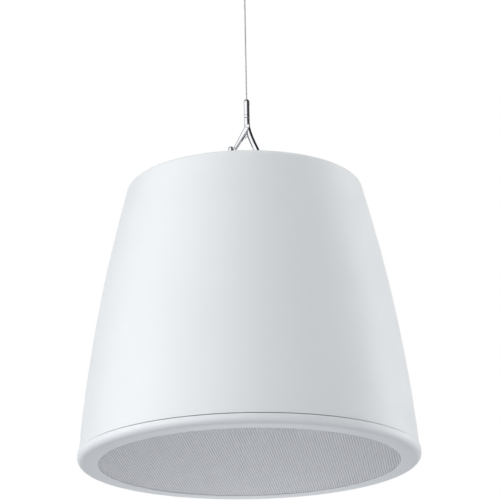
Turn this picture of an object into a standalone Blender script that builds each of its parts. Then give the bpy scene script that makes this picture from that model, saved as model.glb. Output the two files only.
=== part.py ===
"""Pendant loudspeaker on a steel rope: tapered housing, coaxial driver, snap hook and ceiling fitting.

Everything is in metres, +Z up. The origin is the middle of the ceiling plate's upper face, which holds the
whole speaker. The housing and all it carries are parented to the empty hanging_body, whose origin is the
middle of the joint between shell and bezel.
"""

import math

import bmesh
import bpy
from mathutils import Matrix, Vector

MM = 0.001
GAP = 0.3 * MM  # clearance between pieces that touch
BORE_PAST = 2 * MM  # how far a cutter runs past the wall it opens
FULL_TURN = 2 * math.pi

# Where the housing hangs below the ceiling plate, and how far its axis stands off the rope's line
SEAM_DROP = 512 * MM
BODY_OFFSET_X = -3.6 * MM

# Housing shell, a moulded cone frustum with a bulging side
SEAM_RADIUS = 165 * MM
TOP_RADIUS = 116.5 * MM
SHELL_HEIGHT = 272 * MM
SIDE_BULGE = 6.3 * MM
TOP_EDGE_RADIUS = 6.6 * MM
SHELL_WALL = 3.5 * MM
SHELL_STEPS = 48
SIDE_ROWS = 6

# Bezel ring under the shell
BEZEL_STEP = 1.5 * MM
BEZEL_RADIUS = SEAM_RADIUS + BEZEL_STEP
BEZEL_DEPTH = 10.1 * MM
BEZEL_EDGE_RADIUS = 8.4 * MM
BEZEL_FACE = 20 * MM
GRILLE_OPENING_RADIUS = BEZEL_RADIUS - BEZEL_FACE
BEZEL_LIP = 1 * MM
SEAM_GAP = 0.8 * MM
SPIGOT_WALL = 2.7 * MM
SPIGOT_HEIGHT = 7.4 * MM
GASKET_WIDTH = 3.5 * MM
GASKET_THICKNESS = 1.4 * MM
BEZEL_TOP = -3.0 * MM

# Perforated grille, drawn with coarser holes than the real sheet
GRILLE_SHEET = 1.2 * MM
GRILLE_SEAT_WIDTH = 4.2 * MM
GRILLE_FOLD = 3.2 * MM
GRILLE_PITCH = 20 * MM
GRILLE_HOLE_RADIUS = 6.4 * MM
GRILLE_PLAIN_RIM = 5 * MM
CLOTH_THICKNESS = 0.5 * MM

# Baffle that carries the driver
BAFFLE_FRONT = 8 * MM
BAFFLE_THICKNESS = 8 * MM
BAFFLE_RIB = 5 * MM
BAFFLE_RIB_HEIGHT = 4 * MM
BOSS_INSET = 9 * MM
BOSS_RADIUS = 6 * MM
BOSS_TOP = 36 * MM
BOSS_WEB = 3 * MM
BOSS_WEB_BITE = 0.75 * MM
SCREW_RADIUS = 2.0 * MM
SCREW_HEAD_RADIUS = 3.6 * MM
SCREW_HEAD_HEIGHT = 2.4 * MM
BAFFLE_SCREW_LENGTH = 22 * MM
BAFFLE_SCREWS = 4
BAFFLE_SCREW_PHASE = math.pi / 4

# Bass reflex port
PORT_RADIUS = 22.7 * MM
PORT_WALL = 1.8 * MM
PORT_FLANGE_RADIUS = 26 * MM
PORT_FLANGE = 1.8 * MM
PORT_LENGTH = 66 * MM

# Woofer
DRIVER_MARGIN = 64 * MM
BASKET_RADIUS = SEAM_RADIUS - DRIVER_MARGIN
BASKET_FLANGE = 9 * MM
DRIVER_CUTOUT_RADIUS = BASKET_RADIUS - BASKET_FLANGE
BASKET_SHEET = 1.4 * MM
BASKET_WAIST_RADIUS = 56.5 * MM
SPIDER_LEDGE_RADIUS = 44 * MM
SPIDER_LEDGE_Z = 47 * MM
BASKET_BACK_Z = 56 * MM
BASKET_WINDOWS = 6
WINDOW_INNER = 38 * MM
WINDOW_OUTER = 68 * MM
GASKET_SHEET = 1.0 * MM
WOOFER_SCREW_INSET = 4 * MM
WOOFER_SCREW_CIRCLE = BASKET_RADIUS - WOOFER_SCREW_INSET
WOOFER_SCREW_LENGTH = 10.5 * MM
WOOFER_SCREWS = 4
SURROUND_ROLL = 7 * MM
SURROUND_SHEET = 0.6 * MM
SURROUND_GLUE_WIDTH = 4.5 * MM
CONE_SHEET = 0.6 * MM
CONE_NECK_Z = 36 * MM
SPIDER_SHEET = 0.5 * MM
SPIDER_WAVES = 2
SPIDER_WAVE_HEIGHT = 1.2 * MM
POLE_RADIUS = 17.9 * MM
COIL_GAP = 0.7 * MM
FORMER_WALL = 0.7 * MM
COIL_WINDING = 0.7 * MM
COIL_HEIGHT = 12 * MM
TOP_PLATE_RADIUS = 50 * MM
TOP_PLATE_THICKNESS = 6 * MM
MAGNET_RADIUS = 57 * MM
MAGNET_BORE = 27 * MM
MAGNET_THICKNESS = 16 * MM
YOKE_RADIUS = 52 * MM
YOKE_THICKNESS = 6 * MM

# Tweeter on a post through the yoke
POST_RADIUS = 4.7 * MM
POST_BORE = 2.6 * MM
TWEETER_BACK_Z = 17 * MM
TWEETER_CAN_RADIUS = 15 * MM
TWEETER_CAN_WALL = 1.5 * MM
TWEETER_CAN_DEPTH = 11 * MM
HORN_MOUTH_RADIUS = 24 * MM
HORN_THROAT_RADIUS = 9 * MM
HORN_DEPTH = 8 * MM
HORN_WALL = 1.6 * MM
DOME_HEIGHT = 3 * MM
DOME_SHEET = 0.5 * MM
TWEETER_MAGNET_RADIUS = 11 * MM
TWEETER_MAGNET_THICKNESS = 4 * MM
POST_NUT_WIDTH = 15 * MM
POST_NUT_HEIGHT = 5 * MM

# Crossover board on the baffle, opposite the port
BOARD_SIZE = (88 * MM, 42 * MM)
BOARD_THICKNESS = 1.6 * MM
BOARD_MARGIN = 6.9 * MM
BOARD_BOSS_HEIGHT = 6 * MM
BOARD_BOSS_RADIUS = 3.5 * MM
CAPACITOR_RADIUS = 7 * MM
CAPACITOR_LENGTH = 30 * MM
INDUCTOR_RADIUS = 14 * MM
INDUCTOR_BORE = 6 * MM
INDUCTOR_HEIGHT = 14 * MM
RESISTOR_SIZE = (8 * MM, 24 * MM, 8 * MM)

# Suspension bar and eye bolts in the housing's top
BAR_SIZE = (170 * MM, 28 * MM)
BAR_THICKNESS = 3 * MM
EYE_BOLT_RADIUS = 4 * MM
EYE_INNER_RADIUS = 10 * MM
EYE_ROD_RADIUS = 3.5 * MM
EYE_COLLAR_RADIUS = 9 * MM
EYE_COLLAR_HEIGHT = 3.5 * MM
EYE_LIFT = 0.6 * MM
WASHER_RADIUS = 12 * MM
WASHER_THICKNESS = 2 * MM
NUT_WIDTH = 13 * MM
NUT_HEIGHT = 6.5 * MM
SAFETY_EYE_INSET = 17 * MM
SAFETY_EYE_X = SAFETY_EYE_INSET - BAR_SIZE[0] / 2
SAFETY_BOLT_RADIUS = 3 * MM
SAFETY_EYE_INNER_RADIUS = 7 * MM
SAFETY_EYE_ROD_RADIUS = 3 * MM
SAFETY_COLLAR_RADIUS = 7 * MM
SAFETY_COLLAR_HEIGHT = 3 * MM
SAFETY_NUT_WIDTH = 10 * MM
SAFETY_NUT_HEIGHT = 5 * MM
RING_STEPS = 14
RING_SIDES = 8

# Line transformer under the bar
TRANSFORMER_INSET = 39 * MM
TRANSFORMER_X = BAR_SIZE[0] / 2 - TRANSFORMER_INSET
CORE_SIZE = (54 * MM, 22 * MM, 45 * MM)
CORE_LEG = 9 * MM
WINDING_OVERHANG = 7 * MM
BRACKET_SHEET = 1.5 * MM
BRACKET_FOOT = 9 * MM

# Terminal cup in the housing's top
CUP_Y = 62 * MM
CUP_RADIUS = 37.7 * MM
CUP_FLANGE_RADIUS = 45 * MM
CUP_FLANGE = 2.5 * MM
CUP_WALL = 2.2 * MM
CUP_DEPTH = 20 * MM
CONNECTOR_SIZE = (30 * MM, 12 * MM, 13 * MM)
CONNECTOR_Y = -14 * MM
CONNECTOR_POLES = 4
CONNECTOR_PITCH = 6.6 * MM
CONNECTOR_HOLE = 3.6 * MM
KNOB_Y = 14 * MM
KNOB_RADIUS = 11 * MM
KNOB_HEIGHT = 12 * MM
KNOB_LIFT = 2.0 * MM
SHAFT_RADIUS = 3 * MM
SHAFT_BLIND = 3 * MM
BUSHING_RADIUS = 5 * MM
SWITCH_RADIUS = 12 * MM
SWITCH_DEPTH = 13 * MM

# Damping liner
LINER_THICKNESS = 8 * MM
LINER_BOTTOM = 100 * MM
LINER_TOP_INSET = 36 * MM
LINER_TOP = SHELL_HEIGHT - LINER_TOP_INSET

# Snap hook, bent from round rod, with its route in the plane of the hook
ROD_RADIUS = 2.85 * MM
HOOK_SHANK_X = -BODY_OFFSET_X
HOOK_HEIGHT = 48.75 * MM
HOOK_BOW_REACH = 14.6 * MM
HOOK_NOSE_REACH = 13.2 * MM
HOOK_NOSE_RISE = 18.5 * MM
GATE_PIVOT_RISE = 38.95 * MM
GATE_PIVOT_SHIFT = 0.5 * MM
GATE_ANGLE = math.radians(29.5)
GATE_LENGTH = 26.4 * MM
GATE_EAR_LENGTH = 7 * MM
GATE_CHANNEL_END = 15.5 * MM
GATE_WEB_X = -0.9 * MM
GATE_WIDTH_TOP = 5.6 * MM
GATE_WIDTH_TIP = 2.6 * MM
GATE_SHEET = 1.0 * MM
PIN_RADIUS = 1.2 * MM
PIN_HEAD_RADIUS = 2.0 * MM
PIN_HEAD = 0.6 * MM
SPRING_RADIUS = 1.4 * MM
SPRING_WIRE = 0.3 * MM
SPRING_TURNS = 2
SPRING_START = -0.3 * MM
SPRING_END = 4.2 * MM
SPRING_DROP = 10 * MM
STUD_RADIUS = 1.6 * MM
STUD_LENGTH = 6 * MM

# Rope, its terminal and the ceiling fitting
ROPE_RADIUS = 0.75 * MM
TERMINAL_RADIUS = 3.0 * MM
TERMINAL_LENGTH = 21 * MM
TERMINAL_BORE = 10 * MM
COUPLER_RADIUS = 6.5 * MM
COUPLER_LENGTH = 22 * MM
COUPLER_TIP_RADIUS = 3 * MM
COUPLER_BORE = 14 * MM
PLATE_RADIUS = 22 * MM
PLATE_THICKNESS = 4 * MM
PLATE_STUD_RADIUS = 2.5 * MM
PLATE_STUD_DEPTH = 2.6 * MM
PLATE_SCREW_HOLE = 2.3 * MM
PLATE_SCREW_CIRCLE = 14 * MM

# Leads inside the housing
LEAD_RADIUS = 1.6 * MM
LEAD_DROP = 14 * MM
LEAD_STEPS = 6


# Helpers


def clear_scene():
    for item in list(bpy.data.objects):
        bpy.data.objects.remove(item)


def material(name, colour, roughness, metallic=0.0):
    made = bpy.data.materials.new(name)
    made.use_nodes = True
    shader = made.node_tree.nodes["Principled BSDF"]
    shader.inputs["Base Color"].default_value = (*colour, 1)
    shader.inputs["Roughness"].default_value = roughness
    shader.inputs["Metallic"].default_value = metallic
    made.diffuse_color = (*colour, 1)
    return made


def place(name, mesh, finish, parent=None, at=(0, 0, 0), turn=(0, 0, 0), smooth=True):
    if not mesh.materials:
        mesh.materials.append(finish)
    if smooth:
        mesh.shade_smooth()
        mesh.set_sharp_from_angle(angle=math.radians(35))
    made = bpy.data.objects.new(name, mesh)
    bpy.context.scene.collection.objects.link(made)
    made.parent = parent
    made.location = at
    made.rotation_euler = turn
    return made


def mesh_from(bm, name):
    bmesh.ops.remove_doubles(bm, verts=bm.verts, dist=1e-7)
    bmesh.ops.recalc_face_normals(bm, faces=bm.faces)
    mesh = bpy.data.meshes.new(name)
    bm.to_mesh(mesh)
    bm.free()
    return mesh


def turned(name, profile, steps, closed=True):
    """A mesh of revolution about Z from (radius, z) points. An open profile gives an open sheet."""
    bm = bmesh.new()
    points = [bm.verts.new((radius, 0, z)) for radius, z in profile]
    edges = [bm.edges.new(pair) for pair in zip(points, points[1:])]
    if closed:
        edges.append(bm.edges.new((points[-1], points[0])))
    bmesh.ops.spin(
        bm, geom=points + edges, cent=(0, 0, 0), axis=(0, 0, 1), angle=FULL_TURN, steps=steps, use_merge=True
    )
    bmesh.ops.remove_doubles(bm, verts=bm.verts, dist=1e-7)
    bmesh.ops.dissolve_degenerate(bm, edges=bm.edges, dist=1e-7)
    return mesh_from(bm, name)


def cylinder(name, radius, low, high, steps=24, bore=0.0):
    if bore:
        return turned(name, [(bore, low), (radius, low), (radius, high), (bore, high)], steps)
    return turned(name, [(0, low), (radius, low), (radius, high), (0, high)], steps)


def circle(radius, steps, centre=(0, 0), phase=0.0):
    angles = [phase + FULL_TURN * step / steps for step in range(steps)]
    return [(centre[0] + radius * math.cos(a), centre[1] + radius * math.sin(a)) for a in angles]


def rectangle(width, height, centre=(0, 0)):
    x, y = centre
    return [
        (x - width / 2, y - height / 2),
        (x + width / 2, y - height / 2),
        (x + width / 2, y + height / 2),
        (x - width / 2, y + height / 2),
    ]


def plate(name, outlines, low, high):
    """A flat plate between two heights: the first outline is its edge and the others are its holes."""
    bm = bmesh.new()
    edges = []
    for outline in outlines:
        corners = [bm.verts.new((x, y, low)) for x, y in outline]
        edges += [bm.edges.new((a, b)) for a, b in zip(corners, corners[1:] + corners[:1])]
    bmesh.ops.triangle_fill(bm, edges=edges, use_beauty=True, use_dissolve=False)
    grown = bmesh.ops.extrude_face_region(bm, geom=list(bm.faces), use_keep_orig=True)
    raised = [item for item in grown["geom"] if isinstance(item, bmesh.types.BMVert)]
    bmesh.ops.translate(bm, verts=raised, vec=(0, 0, high - low))
    return mesh_from(bm, name)


def block(name, size, centre=(0, 0, 0), bevel=0.0):
    bm = bmesh.new()
    bmesh.ops.create_cube(bm, size=1)
    bmesh.ops.scale(bm, verts=bm.verts, vec=size)
    bmesh.ops.translate(bm, verts=bm.verts, vec=centre)
    if bevel:
        bmesh.ops.bevel(bm, geom=bm.edges, offset=bevel, segments=1, affect="EDGES")
    return mesh_from(bm, name)


def joined(name, meshes):
    """Several closed meshes as one, for a cutter or a Boolean union."""
    bm = bmesh.new()
    for mesh in meshes:
        bm.from_mesh(mesh)
    made = bpy.data.meshes.new(name)
    bm.to_mesh(made)
    bm.free()
    return made


def swept(name, route, radii, sides, across=(0, 1, 0)):
    """A round rod along a route that lies in the plane square to across, with a radius at each point."""
    bm = bmesh.new()
    side = Vector(across)
    rings = []
    for index, point in enumerate(route):
        before = Vector(route[max(index - 1, 0)])
        after = Vector(route[min(index + 1, len(route) - 1)])
        normal = side.cross(after - before).normalized()
        angles = [FULL_TURN * step / sides for step in range(sides)]
        rings.append(
            [
                bm.verts.new(Vector(point) + radii[index] * (math.cos(a) * normal + math.sin(a) * side))
                for a in angles
            ]
        )
    for first, second in zip(rings, rings[1:]):
        for step in range(sides):
            following = (step + 1) % sides
            bm.faces.new((first[step], first[following], second[following], second[step]))
    bm.faces.new(rings[0])
    bm.faces.new(rings[-1])
    return mesh_from(bm, name)


def smooth_route(points, steps):
    """Points on a smooth curve through the given ones, steps for each stretch between two."""
    points = [Vector(point) for point in points]
    padded = [2 * points[0] - points[1], *points, 2 * points[-1] - points[-2]]
    route = []
    for a, b, c, d in zip(padded, padded[1:], padded[2:], padded[3:]):
        for step in range(steps):
            t = step / steps
            bend = (2 * a - 5 * b + 4 * c - d) * t**2 + (3 * b - 3 * c + d - a) * t**3
            route.append(b + 0.5 * ((c - a) * t + bend))
    return [*route, points[-1]]


def tube(name, route, radius, finish, parent=None):
    """A cord as a bevelled curve with filled caps."""
    data = bpy.data.curves.new(name, "CURVE")
    data.dimensions = "3D"
    data.bevel_depth = radius
    data.bevel_resolution = 2
    data.use_fill_caps = True
    spline = data.splines.new("POLY")
    spline.points.add(len(route) - 1)
    for point, place_at in zip(spline.points, route):
        point.co = (*place_at, 1)
    data.materials.append(finish)
    made = bpy.data.objects.new(name, data)
    bpy.context.scene.collection.objects.link(made)
    made.parent = parent
    return made


def boolean(target, mesh, operation, at=(0, 0, 0), turn=(0, 0, 0)):
    """Cuts mesh from target or joins it on, by a modifier whose helper object isn't rendered."""
    helper = bpy.data.objects.new(f"{target.name}_{operation.lower()}_{len(target.modifiers)}", mesh)
    bpy.context.scene.collection.objects.link(helper)
    helper.parent = target.parent
    helper.location = at
    helper.rotation_euler = turn
    helper.hide_render = True
    helper.display_type = "WIRE"
    modifier = target.modifiers.new(helper.name, "BOOLEAN")
    modifier.operation = operation
    modifier.solver = "EXACT"
    modifier.object = helper


def thicken(target, thickness):
    modifier = target.modifiers.new("wall", "SOLIDIFY")
    modifier.thickness = thickness
    modifier.offset = 0
    modifier.use_even_offset = True


def hexagonal(width):
    """The circumradius of a hexagon with that width across its flats."""
    return width / math.sqrt(3)


# The housing's profile


def side_radius(height):
    """Outer radius of the shell's side at a height above the seam."""
    share = height / SHELL_HEIGHT
    straight = SEAM_RADIUS + (TOP_RADIUS - SEAM_RADIUS) * share
    return straight + 4 * SIDE_BULGE * share * (1 - share)


def inner_radius(height):
    return side_radius(height) - SHELL_WALL


def arc(centre, radius, start, end, steps):
    """Points on an arc in the profile plane, angles in degrees from the radial direction."""
    angles = [math.radians(start + (end - start) * step / steps) for step in range(steps + 1)]
    return [(centre[0] + radius * math.cos(a), centre[1] + radius * math.sin(a)) for a in angles]


def shell_profile():
    edge_low = SHELL_HEIGHT - TOP_EDGE_RADIUS
    lean = math.atan2(side_radius(edge_low) - side_radius(SHELL_HEIGHT), TOP_EDGE_RADIUS)
    rows = [edge_low * row / SIDE_ROWS for row in range(SIDE_ROWS)]
    outer = [(side_radius(z), z) for z in rows]
    touch = side_radius(edge_low + TOP_EDGE_RADIUS * math.sin(lean))
    centre = (touch - TOP_EDGE_RADIUS * math.cos(lean), edge_low)
    lean = math.degrees(lean)
    outer += arc(centre, TOP_EDGE_RADIUS, lean, 90, 4)
    ceiling = SHELL_HEIGHT - SHELL_WALL
    inner_edge = TOP_EDGE_RADIUS - SHELL_WALL
    inner = arc(centre, inner_edge, 90, lean, 2)
    inner += [(inner_radius(z), z) for z in reversed(rows[1:])]
    inner = [point for point in inner if point[1] > RIB_LOW + BAFFLE_RIB_HEIGHT + SHELL_WALL]
    rib_high = RIB_LOW + BAFFLE_RIB_HEIGHT
    rib = [
        (inner_radius(rib_high), rib_high),
        (inner_radius(rib_high) - BAFFLE_RIB, rib_high),
        (inner_radius(rib_high) - BAFFLE_RIB, RIB_LOW),
        (inner_radius(RIB_LOW), RIB_LOW),
        (inner_radius(0), 0),
    ]
    return [*outer, (0, SHELL_HEIGHT), (0, ceiling), *inner, *rib]


# Heights that follow from the sizes above
RIB_LOW = BAFFLE_FRONT + BAFFLE_THICKNESS + GAP
BOSS_CIRCLE = inner_radius(RIB_LOW) - BOSS_INSET
SPIGOT_RADIUS = inner_radius(SPIGOT_HEIGHT) - GAP
PORT_CIRCLE = (BASKET_RADIUS + SPIGOT_RADIUS - SPIGOT_WALL) / 2
GRILLE_FRONT = -BEZEL_DEPTH + BEZEL_LIP + GAP
GRILLE_RADIUS = GRILLE_OPENING_RADIUS + GRILLE_SEAT_WIDTH
CEILING_Z = SHELL_HEIGHT - SHELL_WALL
BAR_HIGH = CEILING_Z - GAP
BAR_LOW = BAR_HIGH - BAR_THICKNESS
FLANGE_BACK = BAFFLE_FRONT - GAP - GASKET_SHEET - GAP
FLANGE_FRONT = FLANGE_BACK - BASKET_SHEET
PLATE_LOW = BASKET_BACK_Z + BASKET_SHEET / 2 + GAP
PLATE_HIGH = PLATE_LOW + TOP_PLATE_THICKNESS
MAGNET_LOW = PLATE_HIGH + GAP
YOKE_LOW = MAGNET_LOW + MAGNET_THICKNESS + GAP
YOKE_HIGH = YOKE_LOW + YOKE_THICKNESS
COIL_INNER = POLE_RADIUS + COIL_GAP
COIL_OUTER = COIL_INNER + FORMER_WALL
WINDING_OUTER = COIL_OUTER + COIL_WINDING
EYE_SEAT = SHELL_HEIGHT + GAP + WASHER_THICKNESS + GAP
EYE_CENTRE = EYE_SEAT + EYE_COLLAR_HEIGHT + EYE_INNER_RADIUS + EYE_ROD_RADIUS + EYE_LIFT
HOOK_BOW_Z = EYE_CENTRE + EYE_INNER_RADIUS - GAP - ROD_RADIUS
GATE_REACH = ROD_RADIUS + GAP + GATE_SHEET
TERMINAL_LOW = HOOK_BOW_Z + HOOK_HEIGHT + GAP
TERMINAL_HIGH = TERMINAL_LOW + TERMINAL_LENGTH
COUPLER_TOP = -PLATE_THICKNESS - GAP
COUPLER_BOTTOM = COUPLER_TOP - COUPLER_LENGTH
CUP_FLOOR_HIGH = SHELL_HEIGHT - CUP_DEPTH
CUP_FLOOR_LOW = CUP_FLOOR_HIGH - CUP_WALL
BOARD_LOW = BAFFLE_FRONT + BAFFLE_THICKNESS + BOARD_BOSS_HEIGHT + GAP
BOARD_HIGH = BOARD_LOW + BOARD_THICKNESS
BOARD_REACH = math.sqrt((inner_radius(BOARD_LOW) - BOARD_MARGIN) ** 2 - (BOARD_SIZE[0] / 2) ** 2)
BOARD_CIRCLE = BOARD_REACH - BOARD_SIZE[1] / 2


# Pieces of the housing


def screw_angles(count, phase):
    return [phase + FULL_TURN * index / count for index in range(count)]


def on_circle(radius, angle):
    return (radius * math.cos(angle), radius * math.sin(angle))


def make_shell(body, finish):
    shell = place("housing_shell", turned("housing_shell", shell_profile(), SHELL_STEPS), finish, body)
    reach = inner_radius(RIB_LOW) + BOSS_WEB_BITE
    middle = (RIB_LOW + BOSS_TOP) / 2
    bosses = []
    pilots = []
    for angle in screw_angles(BAFFLE_SCREWS, BAFFLE_SCREW_PHASE):
        x, y = on_circle(BOSS_CIRCLE, angle)
        boss = cylinder("boss", BOSS_RADIUS, RIB_LOW + GAP, BOSS_TOP, 8)
        boss.transform(Matrix.Translation((x, y, 0)))
        web_size = (reach - BOSS_CIRCLE, BOSS_WEB, BOSS_TOP - RIB_LOW - 4 * GAP)
        web = block("web", web_size, ((reach + BOSS_CIRCLE) / 2, 0, middle))
        web.transform(Matrix.Rotation(angle, 4, "Z"))
        pilot = cylinder("pilot", SCREW_RADIUS + GAP, RIB_LOW - BORE_PAST, BOSS_TOP - SHELL_WALL, 6)
        pilot.transform(Matrix.Translation((x, y, 0)))
        bosses.append(boss)
        pilots.append(pilot)
        boolean(shell, web, "UNION")
    boolean(shell, joined("bosses", bosses), "UNION")
    boolean(shell, joined("pilots", pilots), "DIFFERENCE")
    openings = []
    for x, y, radius, steps in (
        (0, 0, EYE_BOLT_RADIUS, 12),
        (SAFETY_EYE_X, 0, SAFETY_BOLT_RADIUS, 12),
        (0, CUP_Y, CUP_RADIUS, 24),
    ):
        opening = cylinder("opening", radius + GAP, CEILING_Z - BORE_PAST, SHELL_HEIGHT + BORE_PAST, steps)
        opening.transform(Matrix.Translation((x, y, 0)))
        openings.append(opening)
    boolean(shell, joined("openings", openings), "DIFFERENCE")


def make_bezel(body, finish):
    spigot = SPIGOT_RADIUS
    groove = spigot + GASKET_WIDTH + 2 * GAP
    groove_floor = -GASKET_THICKNESS - 2 * GAP
    edge = (BEZEL_RADIUS - BEZEL_EDGE_RADIUS, BEZEL_EDGE_RADIUS - BEZEL_DEPTH)
    profile = [
        (GRILLE_OPENING_RADIUS, -BEZEL_DEPTH),
        *arc(edge, BEZEL_EDGE_RADIUS, -90, 0, 4),
        (BEZEL_RADIUS, -SEAM_GAP),
        (groove, -SEAM_GAP),
        (groove, groove_floor),
        (spigot, groove_floor),
        (spigot, SPIGOT_HEIGHT),
        (spigot - SPIGOT_WALL, SPIGOT_HEIGHT),
        (spigot - SPIGOT_WALL, BEZEL_TOP),
        (GRILLE_RADIUS + GAP, BEZEL_TOP),
        (GRILLE_RADIUS + GAP, BEZEL_LIP - BEZEL_DEPTH),
        (GRILLE_OPENING_RADIUS, BEZEL_LIP - BEZEL_DEPTH),
    ]
    place("front_bezel", turned("front_bezel", profile, SHELL_STEPS), finish, body)


def make_seam_gasket(body, finish):
    inside = inner_radius(SPIGOT_HEIGHT)
    ring = cylinder("seam_gasket", inside + GASKET_WIDTH, -GAP - GASKET_THICKNESS, -GAP, SHELL_STEPS, inside)
    place("seam_gasket", ring, finish, body)


def grille_holes():
    """Hexagonal holes on a staggered grid inside the grille's plain rim."""
    reach = GRILLE_OPENING_RADIUS - GRILLE_PLAIN_RIM - GRILLE_HOLE_RADIUS
    row_step = GRILLE_PITCH * math.sqrt(3) / 2
    rows = int(reach / row_step)
    holes = []
    for row in range(-rows, rows + 1):
        shift = GRILLE_PITCH / 2 * (row % 2)
        columns = int(reach / GRILLE_PITCH) + 1
        for column in range(-columns, columns + 1):
            centre = (column * GRILLE_PITCH + shift, row * row_step)
            if math.hypot(*centre) <= reach:
                holes.append(circle(GRILLE_HOLE_RADIUS, 6, centre, math.pi / 6))
    return holes


def make_grille(body, finish):
    outlines = [circle(GRILLE_RADIUS, SHELL_STEPS), *grille_holes()]
    sheet = plate("grille", outlines, GRILLE_FRONT, GRILLE_FRONT + GRILLE_SHEET)
    grille = place("grille", sheet, finish, body, smooth=False)
    fold = cylinder(
        "fold",
        GRILLE_RADIUS - 0.1 * MM,
        GRILLE_FRONT + GRILLE_SHEET / 2,
        GRILLE_FRONT + GRILLE_SHEET + GRILLE_FOLD,
        SHELL_STEPS,
        GRILLE_RADIUS - GRILLE_SHEET,
    )
    boolean(grille, fold, "UNION")


def make_cloth(body, finish):
    low = GRILLE_FRONT + GRILLE_SHEET + GAP
    radius = GRILLE_RADIUS - GRILLE_SHEET - GAP
    sheet = cylinder("grille_cloth", radius, low, low + CLOTH_THICKNESS, SHELL_STEPS)
    place("grille_cloth", sheet, finish, body)


def make_liner(body, finish):
    steps = 2
    heights = [LINER_BOTTOM + (LINER_TOP - LINER_BOTTOM) * step / steps for step in range(steps + 1)]
    outer = [(inner_radius(z) - GAP, z) for z in heights]
    inner = [(inner_radius(z) - GAP - LINER_THICKNESS, z) for z in reversed(heights)]
    place("damping_liner", turned("damping_liner", outer + inner, 16), finish, body)


def board_corners():
    x = BOARD_SIZE[0] / 2 - BOARD_BOSS_RADIUS
    y = BOARD_SIZE[1] / 2 - BOARD_BOSS_RADIUS
    return [(side * x, end * y - BOARD_CIRCLE) for side in (-1, 1) for end in (-1, 1)]


def make_baffle(body, finish):
    high = BAFFLE_FRONT + BAFFLE_THICKNESS
    outlines = [
        circle(inner_radius(high) - GAP, SHELL_STEPS),
        circle(DRIVER_CUTOUT_RADIUS, 24),
        circle(PORT_RADIUS + GAP, 14, (0, PORT_CIRCLE)),
    ]
    for angle in screw_angles(BAFFLE_SCREWS, BAFFLE_SCREW_PHASE):
        outlines.append(circle(SCREW_RADIUS + GAP, 8, on_circle(BOSS_CIRCLE, angle)))
    for angle in screw_angles(WOOFER_SCREWS, 0):
        outlines.append(circle(SCREW_RADIUS + GAP, 8, on_circle(WOOFER_SCREW_CIRCLE, angle)))
    baffle = place("baffle", plate("baffle", outlines, BAFFLE_FRONT, high), finish, body, smooth=False)
    bosses = []
    for x, y in board_corners():
        boss = cylinder("boss", BOARD_BOSS_RADIUS, high - BORE_PAST, high + BOARD_BOSS_HEIGHT, 8)
        boss.transform(Matrix.Translation((x, y, 0)))
        bosses.append(boss)
    boolean(baffle, joined("board_bosses", bosses), "UNION")


def screw_mesh(name, length):
    """A pan head screw with its head's underside at z 0 and its shank up along Z."""
    profile = [
        (0, -SCREW_HEAD_HEIGHT),
        (SCREW_HEAD_RADIUS * 0.7, -SCREW_HEAD_HEIGHT),
        (SCREW_HEAD_RADIUS, -SCREW_HEAD_HEIGHT / 2),
        (SCREW_HEAD_RADIUS, 0),
        (SCREW_RADIUS, 0),
        (SCREW_RADIUS, length - SCREW_RADIUS),
        (0, length),
    ]
    return turned(name, profile, 6)


def make_screws(body, finish):
    angles = screw_angles(BAFFLE_SCREWS, BAFFLE_SCREW_PHASE)
    mesh = screw_mesh("baffle_screw", BAFFLE_SCREW_LENGTH)
    for number, angle in enumerate(angles, 1):
        at = (*on_circle(BOSS_CIRCLE, angle), BAFFLE_FRONT - GAP)
        place(f"baffle_screw_{number}", mesh, finish, body, at)
    mesh = screw_mesh("woofer_screw", WOOFER_SCREW_LENGTH)
    for number, angle in enumerate(screw_angles(WOOFER_SCREWS, 0), 1):
        at = (*on_circle(WOOFER_SCREW_CIRCLE, angle), FLANGE_FRONT - GAP)
        place(f"woofer_screw_{number}", mesh, finish, body, at)


def make_port(body, finish):
    bore = PORT_RADIUS - PORT_WALL
    low = BAFFLE_FRONT - GAP - PORT_FLANGE
    profile = [
        (bore + PORT_WALL, low),
        (PORT_FLANGE_RADIUS, low),
        (PORT_FLANGE_RADIUS, low + PORT_FLANGE),
        (PORT_RADIUS, low + PORT_FLANGE),
        (PORT_RADIUS, low + PORT_LENGTH),
        (bore, low + PORT_LENGTH),
        (bore, low + PORT_WALL),
    ]
    place("port_tube", turned("port_tube", profile, 14), finish, body, (0, PORT_CIRCLE, 0))


# Woofer


def basket_path():
    flange = FLANGE_FRONT + BASKET_SHEET / 2
    return [
        (BASKET_RADIUS, flange),
        (BASKET_RADIUS - 10.5 * MM, flange),
        (BASKET_RADIUS - 14.5 * MM, flange + 3.3 * MM),
        (BASKET_WAIST_RADIUS + 1.5 * MM, SPIDER_LEDGE_Z - 2.5 * MM),
        (BASKET_WAIST_RADIUS, SPIDER_LEDGE_Z),
        (SPIDER_LEDGE_RADIUS, SPIDER_LEDGE_Z),
        (SPIDER_LEDGE_RADIUS - 2 * MM, SPIDER_LEDGE_Z + 2.5 * MM),
        (SPIDER_LEDGE_RADIUS - 3 * MM, BASKET_BACK_Z),
        (WINDING_OUTER + 1.2 * MM, BASKET_BACK_Z),
    ]


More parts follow.
